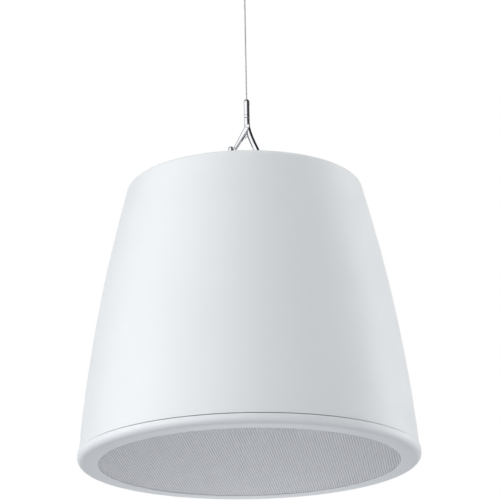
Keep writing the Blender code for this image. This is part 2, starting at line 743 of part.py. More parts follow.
def make_basket(body, finish):
    path = basket_path()
    basket = place("woofer_basket", turned("woofer_basket", path, 20, closed=False), finish, body)
    thicken(basket, BASKET_SHEET)
    corners = ((SPIDER_LEDGE_RADIUS + 8 * MM, WINDOW_INNER), (DRIVER_CUTOUT_RADIUS, WINDOW_OUTER))
    window = [(x, -width / 2) for x, width in corners] + [(x, width / 2) for x, width in reversed(corners)]
    windows = []
    for angle in screw_angles(BASKET_WINDOWS, 0):
        opening = plate("window", [window], path[2][1] + 5 * MM, path[3][1] - 4 * MM)
        opening.transform(Matrix.Rotation(angle, 4, "Z"))
        windows.append(opening)
    for angle in screw_angles(WOOFER_SCREWS, 0):
        hole = cylinder("hole", SCREW_RADIUS + GAP, FLANGE_FRONT - BORE_PAST, FLANGE_BACK + BORE_PAST, 8)
        hole.transform(Matrix.Translation((*on_circle(WOOFER_SCREW_CIRCLE, angle), 0)))
        windows.append(hole)
    boolean(basket, joined("windows", windows), "DIFFERENCE")


def make_woofer_gasket(body, finish):
    outlines = [circle(BASKET_RADIUS - GAP, 20), circle(DRIVER_CUTOUT_RADIUS + GAP, 20)]
    for angle in screw_angles(WOOFER_SCREWS, 0):
        outlines.append(circle(SCREW_RADIUS + GAP, 8, on_circle(WOOFER_SCREW_CIRCLE, angle)))
    ring = plate("woofer_gasket", outlines, FLANGE_BACK + GAP, FLANGE_BACK + GAP + GASKET_SHEET)
    place("woofer_gasket", ring, finish, body, smooth=False)


def make_cone_parts(body, paper, rubber, cloth, copper):
    surround_z = FLANGE_FRONT - GAP - SURROUND_SHEET / 2
    roll_outer = BASKET_RADIUS - 12.5 * MM
    roll_centre = roll_outer - SURROUND_ROLL
    path = [(roll_outer + SURROUND_GLUE_WIDTH, surround_z)]
    path += arc((roll_centre, surround_z), SURROUND_ROLL, 0, -180, 4)
    path += [(roll_centre - SURROUND_ROLL - SURROUND_GLUE_WIDTH, surround_z)]
    surround = place("woofer_surround", turned("woofer_surround", path, 20, closed=False), rubber, body)
    thicken(surround, SURROUND_SHEET)

    rim_z = surround_z + SURROUND_SHEET / 2 + GAP + CONE_SHEET / 2
    rim = roll_centre - SURROUND_ROLL
    neck = COIL_OUTER + GAP + CONE_SHEET / 2
    path = [(rim, rim_z)]
    for step in range(4):
        share = step / 3
        radius = rim - SURROUND_GLUE_WIDTH + (neck - rim + SURROUND_GLUE_WIDTH) * share
        path.append((radius, rim_z + (CONE_NECK_Z - rim_z) * (0.65 * share + 0.35 * share**2)))
    path.append((neck, CONE_NECK_Z + 2.5 * MM))
    cone = place("woofer_cone", turned("woofer_cone", path, 20, closed=False), paper, body)
    thicken(cone, CONE_SHEET)

    spider_z = SPIDER_LEDGE_Z - BASKET_SHEET / 2 - GAP - SPIDER_SHEET / 2
    inner = COIL_OUTER + GAP + SPIDER_SHEET / 2
    first, last = inner + 2 * MM, SPIDER_LEDGE_RADIUS - 2 * MM
    path = [(inner, spider_z - 2 * MM), (inner, spider_z)]
    bends = SPIDER_WAVES * 2
    for step in range(bends + 1):
        share = step / bends
        wave = (1 - math.cos(FULL_TURN * SPIDER_WAVES * share)) / 2
        path.append((first + (last - first) * share, spider_z - SPIDER_WAVE_HEIGHT * wave))
    path.append((BASKET_WAIST_RADIUS - 2 * MM, spider_z))
    spider = place("woofer_spider", turned("woofer_spider", path, 16, closed=False), cloth, body)
    thicken(spider, SPIDER_SHEET)

    middle = (PLATE_LOW + PLATE_HIGH) / 2
    profile = [
        (COIL_INNER, CONE_NECK_Z - 2 * MM),
        (COIL_OUTER, CONE_NECK_Z - 2 * MM),
        (COIL_OUTER, middle - COIL_HEIGHT / 2),
        (WINDING_OUTER, middle - COIL_HEIGHT / 2),
        (WINDING_OUTER, middle + COIL_HEIGHT / 2),
        (COIL_INNER, middle + COIL_HEIGHT / 2),
    ]
    place("voice_coil", turned("voice_coil", profile, 16), copper, body)


def make_motor(body, steel, ferrite):
    bore = WINDING_OUTER + COIL_GAP
    top_plate = cylinder("woofer_top_plate", TOP_PLATE_RADIUS, PLATE_LOW, PLATE_HIGH, 16, bore)
    place("woofer_top_plate", top_plate, steel, body)
    high = MAGNET_LOW + MAGNET_THICKNESS
    magnet = cylinder("woofer_magnet", MAGNET_RADIUS, MAGNET_LOW, high, 16, MAGNET_BORE)
    place("woofer_magnet", magnet, ferrite, body)
    hole = POST_RADIUS + GAP
    profile = [
        (hole, PLATE_LOW),
        (POLE_RADIUS, PLATE_LOW),
        (POLE_RADIUS, YOKE_LOW),
        (YOKE_RADIUS, YOKE_LOW),
        (YOKE_RADIUS, YOKE_HIGH),
        (hole, YOKE_HIGH),
    ]
    place("woofer_yoke", turned("woofer_yoke", profile, 16), steel, body)


# Tweeter


def make_tweeter(body, steel, plastic, silk, ferrite):
    post_top = YOKE_HIGH + GAP + POST_NUT_HEIGHT + 2 * MM
    post = cylinder("tweeter_post", POST_RADIUS, TWEETER_BACK_Z + GAP, post_top, 12, POST_BORE)
    place("tweeter_post", post, steel, body)
    nut_low = YOKE_HIGH + GAP
    outlines = [circle(hexagonal(POST_NUT_WIDTH), 6), circle(POST_RADIUS + GAP, 12)]
    nut = plate("tweeter_nut", outlines, nut_low, nut_low + POST_NUT_HEIGHT)
    place("tweeter_nut", nut, steel, body, smooth=False)

    can_front = TWEETER_BACK_Z - TWEETER_CAN_DEPTH
    step_z = can_front + 2.6 * MM
    inner = TWEETER_MAGNET_RADIUS + GAP
    lip = TWEETER_CAN_RADIUS - TWEETER_CAN_WALL
    profile = [
        (POST_BORE + GAP, TWEETER_BACK_Z),
        (TWEETER_CAN_RADIUS, TWEETER_BACK_Z),
        (TWEETER_CAN_RADIUS, can_front),
        (lip, can_front),
        (lip, step_z),
        (inner, step_z),
        (inner, TWEETER_BACK_Z - TWEETER_CAN_WALL),
        (POST_BORE + GAP, TWEETER_BACK_Z - TWEETER_CAN_WALL),
    ]
    place("tweeter_housing", turned("tweeter_housing", profile, 12), plastic, body)
    magnet_high = TWEETER_BACK_Z - TWEETER_CAN_WALL - GAP
    magnet = cylinder(
        "tweeter_magnet", TWEETER_MAGNET_RADIUS, magnet_high - TWEETER_MAGNET_THICKNESS, magnet_high, 12
    )
    place("tweeter_magnet", magnet, ferrite, body)

    rim_z = step_z - GAP - DOME_SHEET / 2
    path = [(lip - GAP, rim_z)]
    for step in range(4):
        angle = math.radians(90 * step / 3)
        path.append(((inner - 1.5 * MM) * math.cos(angle), rim_z - DOME_HEIGHT * math.sin(angle)))
    dome = place("tweeter_dome", turned("tweeter_dome", path, 12, closed=False), silk, body)
    thicken(dome, DOME_SHEET)

    flange_z = can_front - GAP - HORN_WALL / 2
    path = [(TWEETER_CAN_RADIUS, flange_z), (HORN_THROAT_RADIUS + 0.8 * MM, flange_z)]
    for step in range(1, 4):
        angle = math.radians(90 * step / 3)
        radius = HORN_THROAT_RADIUS + (HORN_MOUTH_RADIUS - HORN_THROAT_RADIUS) * (1 - math.cos(angle))
        path.append((radius + 0.8 * MM * (1 - step / 3), flange_z - HORN_DEPTH * math.sin(angle)))
    horn = place("tweeter_horn", turned("tweeter_horn", path, 16, closed=False), plastic, body)
    thicken(horn, HORN_WALL)


# Electronics


def make_crossover(body, board, film, copper, ceramic):
    outline = rectangle(*BOARD_SIZE, (0, -BOARD_CIRCLE))
    sheet = plate("crossover_board", [outline], BOARD_LOW, BOARD_HIGH)
    place("crossover_board", sheet, board, body, smooth=False)
    seat = BOARD_HIGH + GAP
    left = -BOARD_SIZE[0] / 2 + INDUCTOR_RADIUS + 2 * MM
    coil = cylinder("crossover_inductor", INDUCTOR_RADIUS, seat, seat + INDUCTOR_HEIGHT, 16, INDUCTOR_BORE)
    place("crossover_inductor", coil, copper, body, (left, -BOARD_CIRCLE, 0))
    can = cylinder("capacitor", CAPACITOR_RADIUS, -CAPACITOR_LENGTH / 2, CAPACITOR_LENGTH / 2, 14)
    middle = left + INDUCTOR_RADIUS + 2 * MM + CAPACITOR_LENGTH / 2
    for number, side in ((1, 1), (2, -1)):
        at = (middle, side * (CAPACITOR_RADIUS + 1.5 * MM) - BOARD_CIRCLE, seat + CAPACITOR_RADIUS)
        place(f"capacitor_{number}", can, film, body, at, (0, math.pi / 2, 0))
    width, _, height = RESISTOR_SIZE
    x = middle + CAPACITOR_LENGTH / 2 + 2 * MM + width / 2
    resistor = block("crossover_resistor", RESISTOR_SIZE, (x, -BOARD_CIRCLE, seat + height / 2), 0.6 * MM)
    place("crossover_resistor", resistor, ceramic, body, smooth=False)


def make_transformer(body, laminate, copper, steel):
    width, depth, height = CORE_SIZE
    high = BAR_LOW - GAP
    upright = (math.pi / 2, 0, 0)
    window = (width - 4 * CORE_LEG) / 2
    centre_z = high - height / 2
    outlines = [rectangle(width, height)]
    for side in (-1, 1):
        outlines.append(rectangle(window, height - 2 * CORE_LEG, (side * (CORE_LEG + window / 2), 0)))
    core = plate("transformer_core", outlines, -depth / 2, depth / 2)
    place("transformer_core", core, laminate, body, (TRANSFORMER_X, 0, centre_z), upright, smooth=False)

    outside = rectangle(2 * (CORE_LEG + window - GAP), depth + 2 * WINDING_OVERHANG, (TRANSFORMER_X, 0))
    inside = rectangle(2 * (CORE_LEG + GAP), depth + 2 * GAP, (TRANSFORMER_X, 0))
    half = height / 2 - CORE_LEG - GAP
    winding = plate("transformer_winding", [outside, inside], centre_z - half, centre_z + half)
    place("transformer_winding", winding, copper, body, smooth=False)

    inner = width / 2 + GAP
    outer = inner + BRACKET_SHEET
    foot = outer + BRACKET_FOOT
    top, bottom = height / 2, -height / 2 - GAP
    strap = [
        (-foot, top - BRACKET_SHEET),
        (-outer, top - BRACKET_SHEET),
        (-outer, bottom - BRACKET_SHEET),
        (outer, bottom - BRACKET_SHEET),
        (outer, top - BRACKET_SHEET),
        (foot, top - BRACKET_SHEET),
        (foot, top),
        (inner, top),
        (inner, bottom),
        (-inner, bottom),
        (-inner, top),
        (-foot, top),
    ]
    bracket = plate("transformer_bracket", [strap], -depth / 2 + 2 * MM, depth / 2 - 2 * MM)
    place("transformer_bracket", bracket, steel, body, (TRANSFORMER_X, 0, centre_z), upright, smooth=False)


def make_terminal_cup(body, plastic):
    """The recess in the top, with a slot for the leads and a hole for the switch's bushing."""
    flange = SHELL_HEIGHT + GAP
    profile = [
        (0, CUP_FLOOR_LOW),
        (CUP_RADIUS, CUP_FLOOR_LOW),
        (CUP_RADIUS, flange),
        (CUP_FLANGE_RADIUS, flange),
        (CUP_FLANGE_RADIUS, flange + CUP_FLANGE / 2),
        (CUP_FLANGE_RADIUS - CUP_FLANGE / 2, flange + CUP_FLANGE),
        (CUP_RADIUS - CUP_WALL, flange + CUP_FLANGE),
        (CUP_RADIUS - CUP_WALL, CUP_FLOOR_HIGH),
        (0, CUP_FLOOR_HIGH),
    ]
    cup = place("terminal_cup", turned("terminal_cup", profile, 24), plastic, body, (0, CUP_Y, 0))
    low, high = CUP_FLOOR_LOW - BORE_PAST, CUP_FLOOR_HIGH + BORE_PAST
    bushing_hole = cylinder("bushing_hole", BUSHING_RADIUS + GAP, low, high, 14)
    bushing_hole.transform(Matrix.Translation((0, KNOB_Y, 0)))
    slot_size = (CONNECTOR_SIZE[0] - 8 * MM, LEAD_RADIUS * 3, high - low)
    slot = block("slot", slot_size, (0, CONNECTOR_Y, (low + high) / 2))
    boolean(cup, joined("cup_holes", [bushing_hole, slot]), "DIFFERENCE", (0, CUP_Y, 0))


def make_connector(body, contact):
    """Screw connector on the cup's floor, with a screw hole and a wire entry for each pole."""
    depth, height = CONNECTOR_SIZE[1:]
    at = (0, CUP_Y + CONNECTOR_Y, CUP_FLOOR_HIGH + GAP + height / 2)
    housing = block("input_connector", CONNECTOR_SIZE, bevel=0.5 * MM)
    connector = place("input_connector", housing, contact, body, at, smooth=False)
    entries = []
    for pole in range(CONNECTOR_POLES):
        x = (pole - (CONNECTOR_POLES - 1) / 2) * CONNECTOR_PITCH
        screw_hole = cylinder("screw_hole", CONNECTOR_HOLE / 2, height / 4, height, 8)
        screw_hole.transform(Matrix.Translation((x, depth / 5, 0)))
        hole_size = (CONNECTOR_HOLE, depth, CONNECTOR_HOLE)
        wire_hole = block("wire_hole", hole_size, (x, -depth * 0.6, -height / 6))
        entries += [screw_hole, wire_hole]
    boolean(connector, joined("entries", entries), "DIFFERENCE", at)


def make_tap_switch(body, contact, knob_finish, steel):
    """Rotary switch under the cup's floor; its shaft and knob turn together."""
    seat = CUP_FLOOR_LOW - GAP
    bushing_top = CUP_FLOOR_HIGH + 3 * MM
    switch_low = seat - SWITCH_DEPTH
    bore = SHAFT_RADIUS + GAP
    profile = [
        (0, switch_low),
        (SWITCH_RADIUS, switch_low),
        (SWITCH_RADIUS, seat),
        (BUSHING_RADIUS, seat),
        (BUSHING_RADIUS, bushing_top),
        (bore, bushing_top),
        (bore, switch_low + SHAFT_BLIND),
        (0, switch_low + SHAFT_BLIND),
    ]
    centre = (0, CUP_Y + KNOB_Y, 0)
    place("tap_switch_body", turned("tap_switch_body", profile, 12), contact, body, centre)
    knob_low = bushing_top + KNOB_LIFT
    knob_high = knob_low + KNOB_HEIGHT
    shaft_top = knob_high - SHAFT_BLIND
    shaft = cylinder("tap_switch_shaft", SHAFT_RADIUS, switch_low + SHAFT_BLIND + GAP, shaft_top, 14)
    place("tap_switch_shaft", shaft, steel, body, centre)
    profile = [
        (bore, knob_low),
        (KNOB_RADIUS, knob_low),
        (KNOB_RADIUS, knob_low + 3 * MM),
        (KNOB_RADIUS * 0.9, knob_low + 3.6 * MM),
        (KNOB_RADIUS * 0.86, knob_high - 1 * MM),
        (KNOB_RADIUS * 0.8, knob_high),
        (0, knob_high),
        (0, shaft_top + GAP),
        (bore, shaft_top + GAP),
    ]
    knob = place("tap_knob", turned("tap_knob", profile, 12), knob_finish, body, centre)
    ridge_at = (0, KNOB_RADIUS * 0.12, knob_high + 0.5 * MM)
    ridge = block("ridge", (3 * MM, KNOB_RADIUS * 1.5, 3 * MM), ridge_at)
    boolean(knob, ridge, "UNION", centre)


def beside_basket(share):
    """A point of a lead that lies against the basket's sloping wall, at a share of the way up."""
    low, high = (Vector(point) for point in basket_path()[2:4])
    along = high - low
    out = Vector((along.y, -along.x)).normalized()
    radius, height = low + along * share + out * (BASKET_SHEET / 2 + GAP + LEAD_RADIUS)
    return (0, -radius, height)


def make_leads(body, finish):
    board_top = BOARD_HIGH + GAP + LEAD_RADIUS
    board_edge = BOARD_CIRCLE - BOARD_SIZE[1] / 2
    route = [
        (0, -board_edge - 4 * MM, board_top),
        (0, -board_edge + 2 * MM, board_top + 0.7 * MM),
        (0, -board_edge + 14 * MM, board_top + 0.2 * MM),
        (0, -board_edge + 27 * MM, board_top + 3.7 * MM),
        beside_basket(0.7),
        beside_basket(0.9),
    ]
    tube("woofer_lead", smooth_route(route, 3), LEAD_RADIUS, finish, body)
    tube("input_lead", smooth_route(input_lead_route(), 3), LEAD_RADIUS, finish, body)


def input_lead_route():
    """From the connector down through the cup's floor, round the driver and onto the end of the board."""
    start_z = CUP_FLOOR_HIGH
    start_y = CUP_Y + CONNECTOR_Y
    end = (BOARD_SIZE[0] / 2 - 8 * MM, -BOARD_CIRCLE)
    top = start_z - LEAD_DROP
    bottom = BOARD_HIGH + LEAD_DROP
    turn = math.atan2(end[1], end[0]) - FULL_TURN / 4
    straight = 3 * LEAD_RADIUS
    route = [(0, start_y, start_z), (0, start_y, start_z - straight), (0, start_y, top)]
    for step in range(1, LEAD_STEPS):
        share = step / LEAD_STEPS
        radius = start_y + (math.hypot(*end) - start_y) * share
        x, y = on_circle(radius, FULL_TURN / 4 + turn * share)
        route.append((x, y, top + (bottom - top) * share))
    return [*route, (*end, bottom), (*end, BOARD_HIGH + straight), (*end, BOARD_HIGH + GAP)]


# Suspension


def make_eye(name, body, finish, x, seat, bolt, ring, collar, end):
    """A ring on a collar and a threaded shank: bolt, ring and collar give radii and the collar's height."""
    inner, rod = ring
    collar_radius, collar_height = collar
    profile = [
        (0, end),
        (bolt - 0.6 * MM, end),
        (bolt, end + 0.6 * MM),
        (bolt, seat),
        (collar_radius, seat),
        (collar_radius, seat + collar_height / 2),
        (collar_radius * 0.7, seat + collar_height),
        (0, seat + collar_height),
    ]
    eye = place(name, turned(name, profile, 12), finish, body, (x, 0, 0))
    section = [(inner + rod - rod * math.cos(a), rod * math.sin(a)) for a in ring_angles()]
    loop = turned("loop", section, RING_STEPS)
    loop.transform(Matrix.Rotation(math.pi / 2, 4, "Y"))
    boolean(eye, loop, "UNION", (x, 0, seat + collar_height + inner + rod + EYE_LIFT))


def ring_angles():
    return [FULL_TURN * step / RING_SIDES for step in range(RING_SIDES)]


def make_hanging_gear(body, finish):
    bar_holes = [circle(EYE_BOLT_RADIUS + GAP, 12), circle(SAFETY_BOLT_RADIUS + GAP, 12, (SAFETY_EYE_X, 0))]
    bar = plate("suspension_bar", [rectangle(*BAR_SIZE), *bar_holes], BAR_LOW, BAR_HIGH)
    place("suspension_bar", bar, finish, body, smooth=False)
    low = SHELL_HEIGHT + GAP
    high = low + WASHER_THICKNESS
    washer = cylinder("eye_bolt_washer", WASHER_RADIUS, low, high, 16, EYE_BOLT_RADIUS + GAP)
    place("eye_bolt_washer", washer, finish, body)
    nut_high = BAR_LOW - GAP
    nuts = (
        ("eye_bolt_nut", 0, NUT_WIDTH, NUT_HEIGHT, EYE_BOLT_RADIUS),
        ("safety_eye_nut", SAFETY_EYE_X, SAFETY_NUT_WIDTH, SAFETY_NUT_HEIGHT, SAFETY_BOLT_RADIUS),
    )
    for name, x, width, height, bolt in nuts:
        outlines = [circle(hexagonal(width), 6, (x, 0)), circle(bolt + GAP, 12, (x, 0))]
        place(name, plate(name, outlines, nut_high - height, nut_high), finish, body, smooth=False)
    make_eye(
        "eye_bolt",
        body,
        finish,
        0,
        EYE_SEAT,
        EYE_BOLT_RADIUS,
        (EYE_INNER_RADIUS, EYE_ROD_RADIUS),
        (EYE_COLLAR_RADIUS, EYE_COLLAR_HEIGHT),
        nut_high - NUT_HEIGHT - 2 * MM,
    )
    make_eye(
        "safety_eye",
        body,
        finish,
        SAFETY_EYE_X,
        low,
        SAFETY_BOLT_RADIUS,
        (SAFETY_EYE_INNER_RADIUS, SAFETY_EYE_ROD_RADIUS),
        (SAFETY_COLLAR_RADIUS, SAFETY_COLLAR_HEIGHT),
        nut_high - SAFETY_NUT_HEIGHT - 2 * MM,
    )


def hook_route():
    """The bent rod's middle line from the shank round the bow to the nose, with its radius at each point."""
    shank = HOOK_SHANK_X
    points = [
        (shank, HOOK_HEIGHT),
        (shank, HOOK_HEIGHT - 5 * MM),
        (shank + GATE_PIVOT_SHIFT, GATE_PIVOT_RISE),
        (shank + 2.2 * MM, 31.9 * MM),
        (shank + 5.9 * MM, 21.9 * MM),
        (HOOK_BOW_REACH - 1.7 * MM, 14.0 * MM),
        (HOOK_BOW_REACH, 8.0 * MM),
        (HOOK_BOW_REACH - 2.4 * MM, 2.4 * MM),
        (HOOK_BOW_REACH * 0.45, 0.2 * MM),
        (0, 0),
        (-6.4 * MM, 0.8 * MM),
        (-HOOK_NOSE_REACH + 1.8 * MM, 5.0 * MM),
        (-HOOK_NOSE_REACH, 11.2 * MM),
        (-HOOK_NOSE_REACH + 0.2 * MM, HOOK_NOSE_RISE - 2 * MM),
    ]
    route = smooth_route([(x, 0, HOOK_BOW_Z + z) for x, z in points], 2)
    radii = [ROD_RADIUS] * len(route)
    nose = [(-HOOK_NOSE_REACH + 0.2 * MM, 0, HOOK_BOW_Z + HOOK_NOSE_RISE - inset) for inset in (0.8 * MM, 0)]
    return route + nose, radii + [ROD_RADIUS * 0.85, ROD_RADIUS * 0.4]


def gate_frame():
    at = (HOOK_SHANK_X + GATE_PIVOT_SHIFT, 0, HOOK_BOW_Z + GATE_PIVOT_RISE)
    return at, (math.pi / 2, GATE_ANGLE, 0)


def make_hook(body, steel):
    """The bent rod with its swaged stud on top and the hole for the gate's pin."""
    route, radii = hook_route()
    hook = place("snap_hook_body", swept("snap_hook_body", route, radii, 10), steel, body)
    at, turn = gate_frame()
    boolean(hook, pin_hole(), "DIFFERENCE", at, turn)
    stud_low, stud_high = HOOK_BOW_Z + HOOK_HEIGHT - 3 * MM, HOOK_BOW_Z + HOOK_HEIGHT + STUD_LENGTH
    stud = cylinder("stud", STUD_RADIUS, stud_low, stud_high, 12)
    boolean(hook, stud, "UNION", (HOOK_SHANK_X, 0, 0))


def pin_hole():
    reach = GATE_REACH + BORE_PAST
    return cylinder("pin_hole", PIN_RADIUS + GAP, -reach, reach, 12)


def make_gate(body, steel):
    """Folded sheet: two cheeks round the rod, joined by a web below the pivot, and the riveted pin."""
    at, turn = gate_frame()
    top, tip = GATE_WIDTH_TOP / 2, GATE_WIDTH_TIP / 2
    ear = [(-top * math.cos(a), top * math.sin(a)) for a in (math.pi * step / 6 for step in range(7))]
    outline = [*ear, (tip, -GATE_LENGTH), (-tip, -GATE_LENGTH)]
    sheet = plate("snap_hook_gate", [outline], -GATE_REACH, GATE_REACH)
    gate = place("snap_hook_gate", sheet, steel, body, at, turn, smooth=False)
    slot = ROD_RADIUS + GAP
    ears = block("ears", (20 * MM, 2 * GATE_EAR_LENGTH, 2 * slot), (0, 0, 0))
    channel_top = GATE_EAR_LENGTH - 1 * MM
    channel_size = (20 * MM, GATE_CHANNEL_END - channel_top, 2 * slot)
    channel_at = (GATE_WEB_X + 10 * MM, -(GATE_CHANNEL_END + channel_top) / 2, 0)
    boolean(gate, ears, "DIFFERENCE", at, turn)
    boolean(gate, block("channel", channel_size, channel_at), "DIFFERENCE", at, turn)
    boolean(gate, pin_hole(), "DIFFERENCE", at, turn)
    seat = GATE_REACH + GAP
    profile = [
        (0, -seat - PIN_HEAD),
        (PIN_HEAD_RADIUS, -seat - PIN_HEAD),
        (PIN_HEAD_RADIUS, -seat),
        (PIN_RADIUS, -seat),
        (PIN_RADIUS, seat),
        (PIN_HEAD_RADIUS, seat),
        (PIN_HEAD_RADIUS, seat + PIN_HEAD),
        (0, seat + PIN_HEAD),
    ]
    place("gate_pin", turned("gate_pin", profile, 12), steel, body, at, turn)


def make_gate_spring(body, steel):
    at, turn = gate_frame()
    turns = int(SPRING_TURNS * 8)
    wide = SPRING_END - SPRING_START
    coil = []
    for step in range(turns + 1):
        angle = FULL_TURN * step / 8
        across = SPRING_START + wide * step / turns
        along = SPRING_RADIUS * math.cos(angle) - SPRING_DROP
        coil.append((across, along, SPRING_RADIUS * math.sin(angle)))
    spring = tube("gate_spring", coil, SPRING_WIRE, steel, body)
    spring.location = at
    spring.rotation_euler = turn


def make_terminal(body, steel):
    """Swaged sleeve: the hook's stud sits in its lower end and the rope in its upper end."""
    low, high = TERMINAL_LOW, TERMINAL_HIGH
    rope_hole = ROPE_RADIUS + GAP
    stud_hole = STUD_RADIUS + GAP
    profile = [
        (stud_hole, low),
        (TERMINAL_RADIUS, low),
        (TERMINAL_RADIUS - 0.2 * MM, low + TERMINAL_LENGTH * 0.65),
        (TERMINAL_RADIUS, low + TERMINAL_LENGTH * 0.72),
        (TERMINAL_RADIUS, high - 2.6 * MM),
        (TERMINAL_RADIUS * 0.8, high - 0.9 * MM),
        (rope_hole + 0.4 * MM, high),
        (rope_hole, high),
        (rope_hole, high - TERMINAL_BORE),
        (0, high - TERMINAL_BORE),
        (0, low + STUD_LENGTH + GAP),
        (stud_hole, low + STUD_LENGTH + GAP),
    ]
    place("rope_terminal", turned("rope_terminal", profile, 12), steel, body, (HOOK_SHANK_X, 0, 0))


def countersink():
    profile = [
        (0, -PLATE_THICKNESS - BORE_PAST),
        (PLATE_SCREW_HOLE * 2 + BORE_PAST, -PLATE_THICKNESS - BORE_PAST),
        (PLATE_SCREW_HOLE, PLATE_SCREW_HOLE - PLATE_THICKNESS),
        (PLATE_SCREW_HOLE, BORE_PAST),
        (0, BORE_PAST),
    ]
    return turned("sink", profile, 8)


def make_ceiling_plate(zinc):
    """Disc against the ceiling, with two countersunk screw holes and a blind hole for the coupler's stud."""
    stud_bore = PLATE_STUD_RADIUS + GAP
    profile = [
        (stud_bore, -PLATE_THICKNESS),
        (PLATE_RADIUS - 1 * MM, -PLATE_THICKNESS),
        (PLATE_RADIUS, 1 * MM - PLATE_THICKNESS),
        (PLATE_RADIUS, 0),
        (0, 0),
        (0, PLATE_STUD_DEPTH + GAP - PLATE_THICKNESS),
        (stud_bore, PLATE_STUD_DEPTH + GAP - PLATE_THICKNESS),
    ]
    ceiling = place("ceiling_plate", turned("ceiling_plate", profile, 24), zinc)
    sinks = []
    for side in (-1, 1):
        sink = countersink()
        sink.transform(Matrix.Translation((side * PLATE_SCREW_CIRCLE, 0, 0)))
        sinks.append(sink)
    boolean(ceiling, joined("sinks", sinks), "DIFFERENCE")


def make_coupler(zinc):
    """Sleeve screwed to the plate by its stud; the rope enters at the tapered lower end."""
    top, bottom = COUPLER_TOP, COUPLER_BOTTOM
    rope_hole = ROPE_RADIUS + GAP
    profile = [
        (0, top + PLATE_STUD_DEPTH),
        (0, bottom + COUPLER_BORE),
        (rope_hole, bottom + COUPLER_BORE),
        (rope_hole, bottom),
        (COUPLER_TIP_RADIUS, bottom),
        (COUPLER_RADIUS, bottom + COUPLER_LENGTH * 0.25),
        (COUPLER_RADIUS, top - 0.8 * MM),
        (COUPLER_RADIUS - 0.8 * MM, top),
        (PLATE_STUD_RADIUS, top),
        (PLATE_STUD_RADIUS, top + PLATE_STUD_DEPTH),
    ]
    place("rope_coupler", turned("rope_coupler", profile, 12), zinc)


def make_rope(steel):
    start = TERMINAL_HIGH - TERMINAL_BORE + GAP - SEAM_DROP
    end = COUPLER_BOTTOM + COUPLER_BORE - GAP
    steps = round((end - start) / (6 * ROPE_RADIUS))
    x = BODY_OFFSET_X + HOOK_SHANK_X
    route = [(x, 0, start + (end - start) * step / steps) for step in range(steps + 1)]
    tube("suspension_rope", route, ROPE_RADIUS, steel)


def main():
    clear_scene()
    body = bpy.data.objects.new("hanging_body", None)
    bpy.context.scene.collection.objects.link(body)
    body.location = (BODY_OFFSET_X, 0, -SEAM_DROP)
    white = material("white_abs", (0.86, 0.87, 0.88), 0.45)
    painted = material("white_painted_steel", (0.8, 0.81, 0.83), 0.5)
    rubber = material("black_rubber", (0.03, 0.03, 0.035), 0.8)
    cloth = material("acoustic_cloth", (0.3, 0.3, 0.31), 0.95)
    felt = material("polyester_wadding", (0.75, 0.74, 0.7), 1.0)
    black = material("black_abs", (0.05, 0.05, 0.055), 0.55)
    paper = material("coated_paper", (0.08, 0.08, 0.09), 0.85)
    copper = material("enamelled_copper", (0.72, 0.35, 0.18), 0.4, 0.8)
    steel = material("polished_stainless_steel", (0.75, 0.76, 0.78), 0.12, 1.0)
    zinc = material("zinc_plated_steel", (0.6, 0.61, 0.63), 0.35, 1.0)
    ferrite = material("ferrite", (0.12, 0.12, 0.13), 0.6)
    board = material("circuit_board", (0.05, 0.25, 0.1), 0.5)
    film = material("capacitor_film", (0.75, 0.65, 0.2), 0.4)
    ceramic = material("cement", (0.8, 0.79, 0.75), 0.8)
    make_shell(body, white)
    make_bezel(body, white)
    make_seam_gasket(body, rubber)
    make_grille(body, painted)
    make_cloth(body, cloth)
    make_liner(body, felt)
    make_baffle(body, black)
    make_screws(body, zinc)
    make_port(body, black)
    make_basket(body, zinc)
    make_woofer_gasket(body, rubber)
    make_cone_parts(body, paper, rubber, cloth, copper)
    make_motor(body, zinc, ferrite)
    make_tweeter(body, zinc, black, cloth, ferrite)
    make_crossover(body, board, film, copper, ceramic)
    make_transformer(body, ferrite, copper, zinc)
    make_terminal_cup(body, black)
    make_connector(body, board)
    make_tap_switch(body, board, black, zinc)
    make_leads(body, rubber)
    make_hanging_gear(body, zinc)
    make_hook(body, steel)
    make_gate(body, steel)
    make_gate_spring(body, steel)
    make_terminal(body, steel)
    make_ceiling_plate(zinc)
    make_coupler(zinc)
    make_rope(steel)


if __name__ == "__main__":
    main()
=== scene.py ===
"""Pendant loudspeaker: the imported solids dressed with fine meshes, finishes, studio light and camera."""

import enum
import logging
import math
from dataclasses import dataclass, field
from typing import Callable, Iterable, Optional, Sequence

import bmesh
import bpy
from mathutils import Matrix, Vector


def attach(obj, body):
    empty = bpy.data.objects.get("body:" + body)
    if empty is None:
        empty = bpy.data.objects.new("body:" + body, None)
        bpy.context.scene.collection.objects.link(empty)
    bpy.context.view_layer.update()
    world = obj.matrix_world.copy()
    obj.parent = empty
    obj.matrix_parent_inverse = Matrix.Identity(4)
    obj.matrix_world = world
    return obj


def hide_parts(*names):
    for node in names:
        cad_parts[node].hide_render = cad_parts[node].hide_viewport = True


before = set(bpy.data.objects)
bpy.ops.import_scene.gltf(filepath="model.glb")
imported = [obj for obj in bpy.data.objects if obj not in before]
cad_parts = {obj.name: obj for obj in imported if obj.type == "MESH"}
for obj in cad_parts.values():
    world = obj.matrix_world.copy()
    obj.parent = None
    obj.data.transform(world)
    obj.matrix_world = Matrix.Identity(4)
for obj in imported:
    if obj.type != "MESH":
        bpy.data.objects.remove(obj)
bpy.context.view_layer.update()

MM = 0.001
FULL_TURN = 2 * math.pi
GAP = 0.3 * MM  # clearance between pieces that touch
ROPE_OFFSET = 3.6 * MM  # how far the rope hangs from the housing's axis
AXIS = Vector((-ROPE_OFFSET, 0, -512 * MM))  # the housing's axis at the seam between shell and bezel
SHELL_HEIGHT = 272 * MM
TOP_SEAT = SHELL_HEIGHT + GAP  # where the fittings stand on the shell's top
GRILLE_RADIUS = 150.7 * MM
EYE_BOLT_RADIUS = 4 * MM
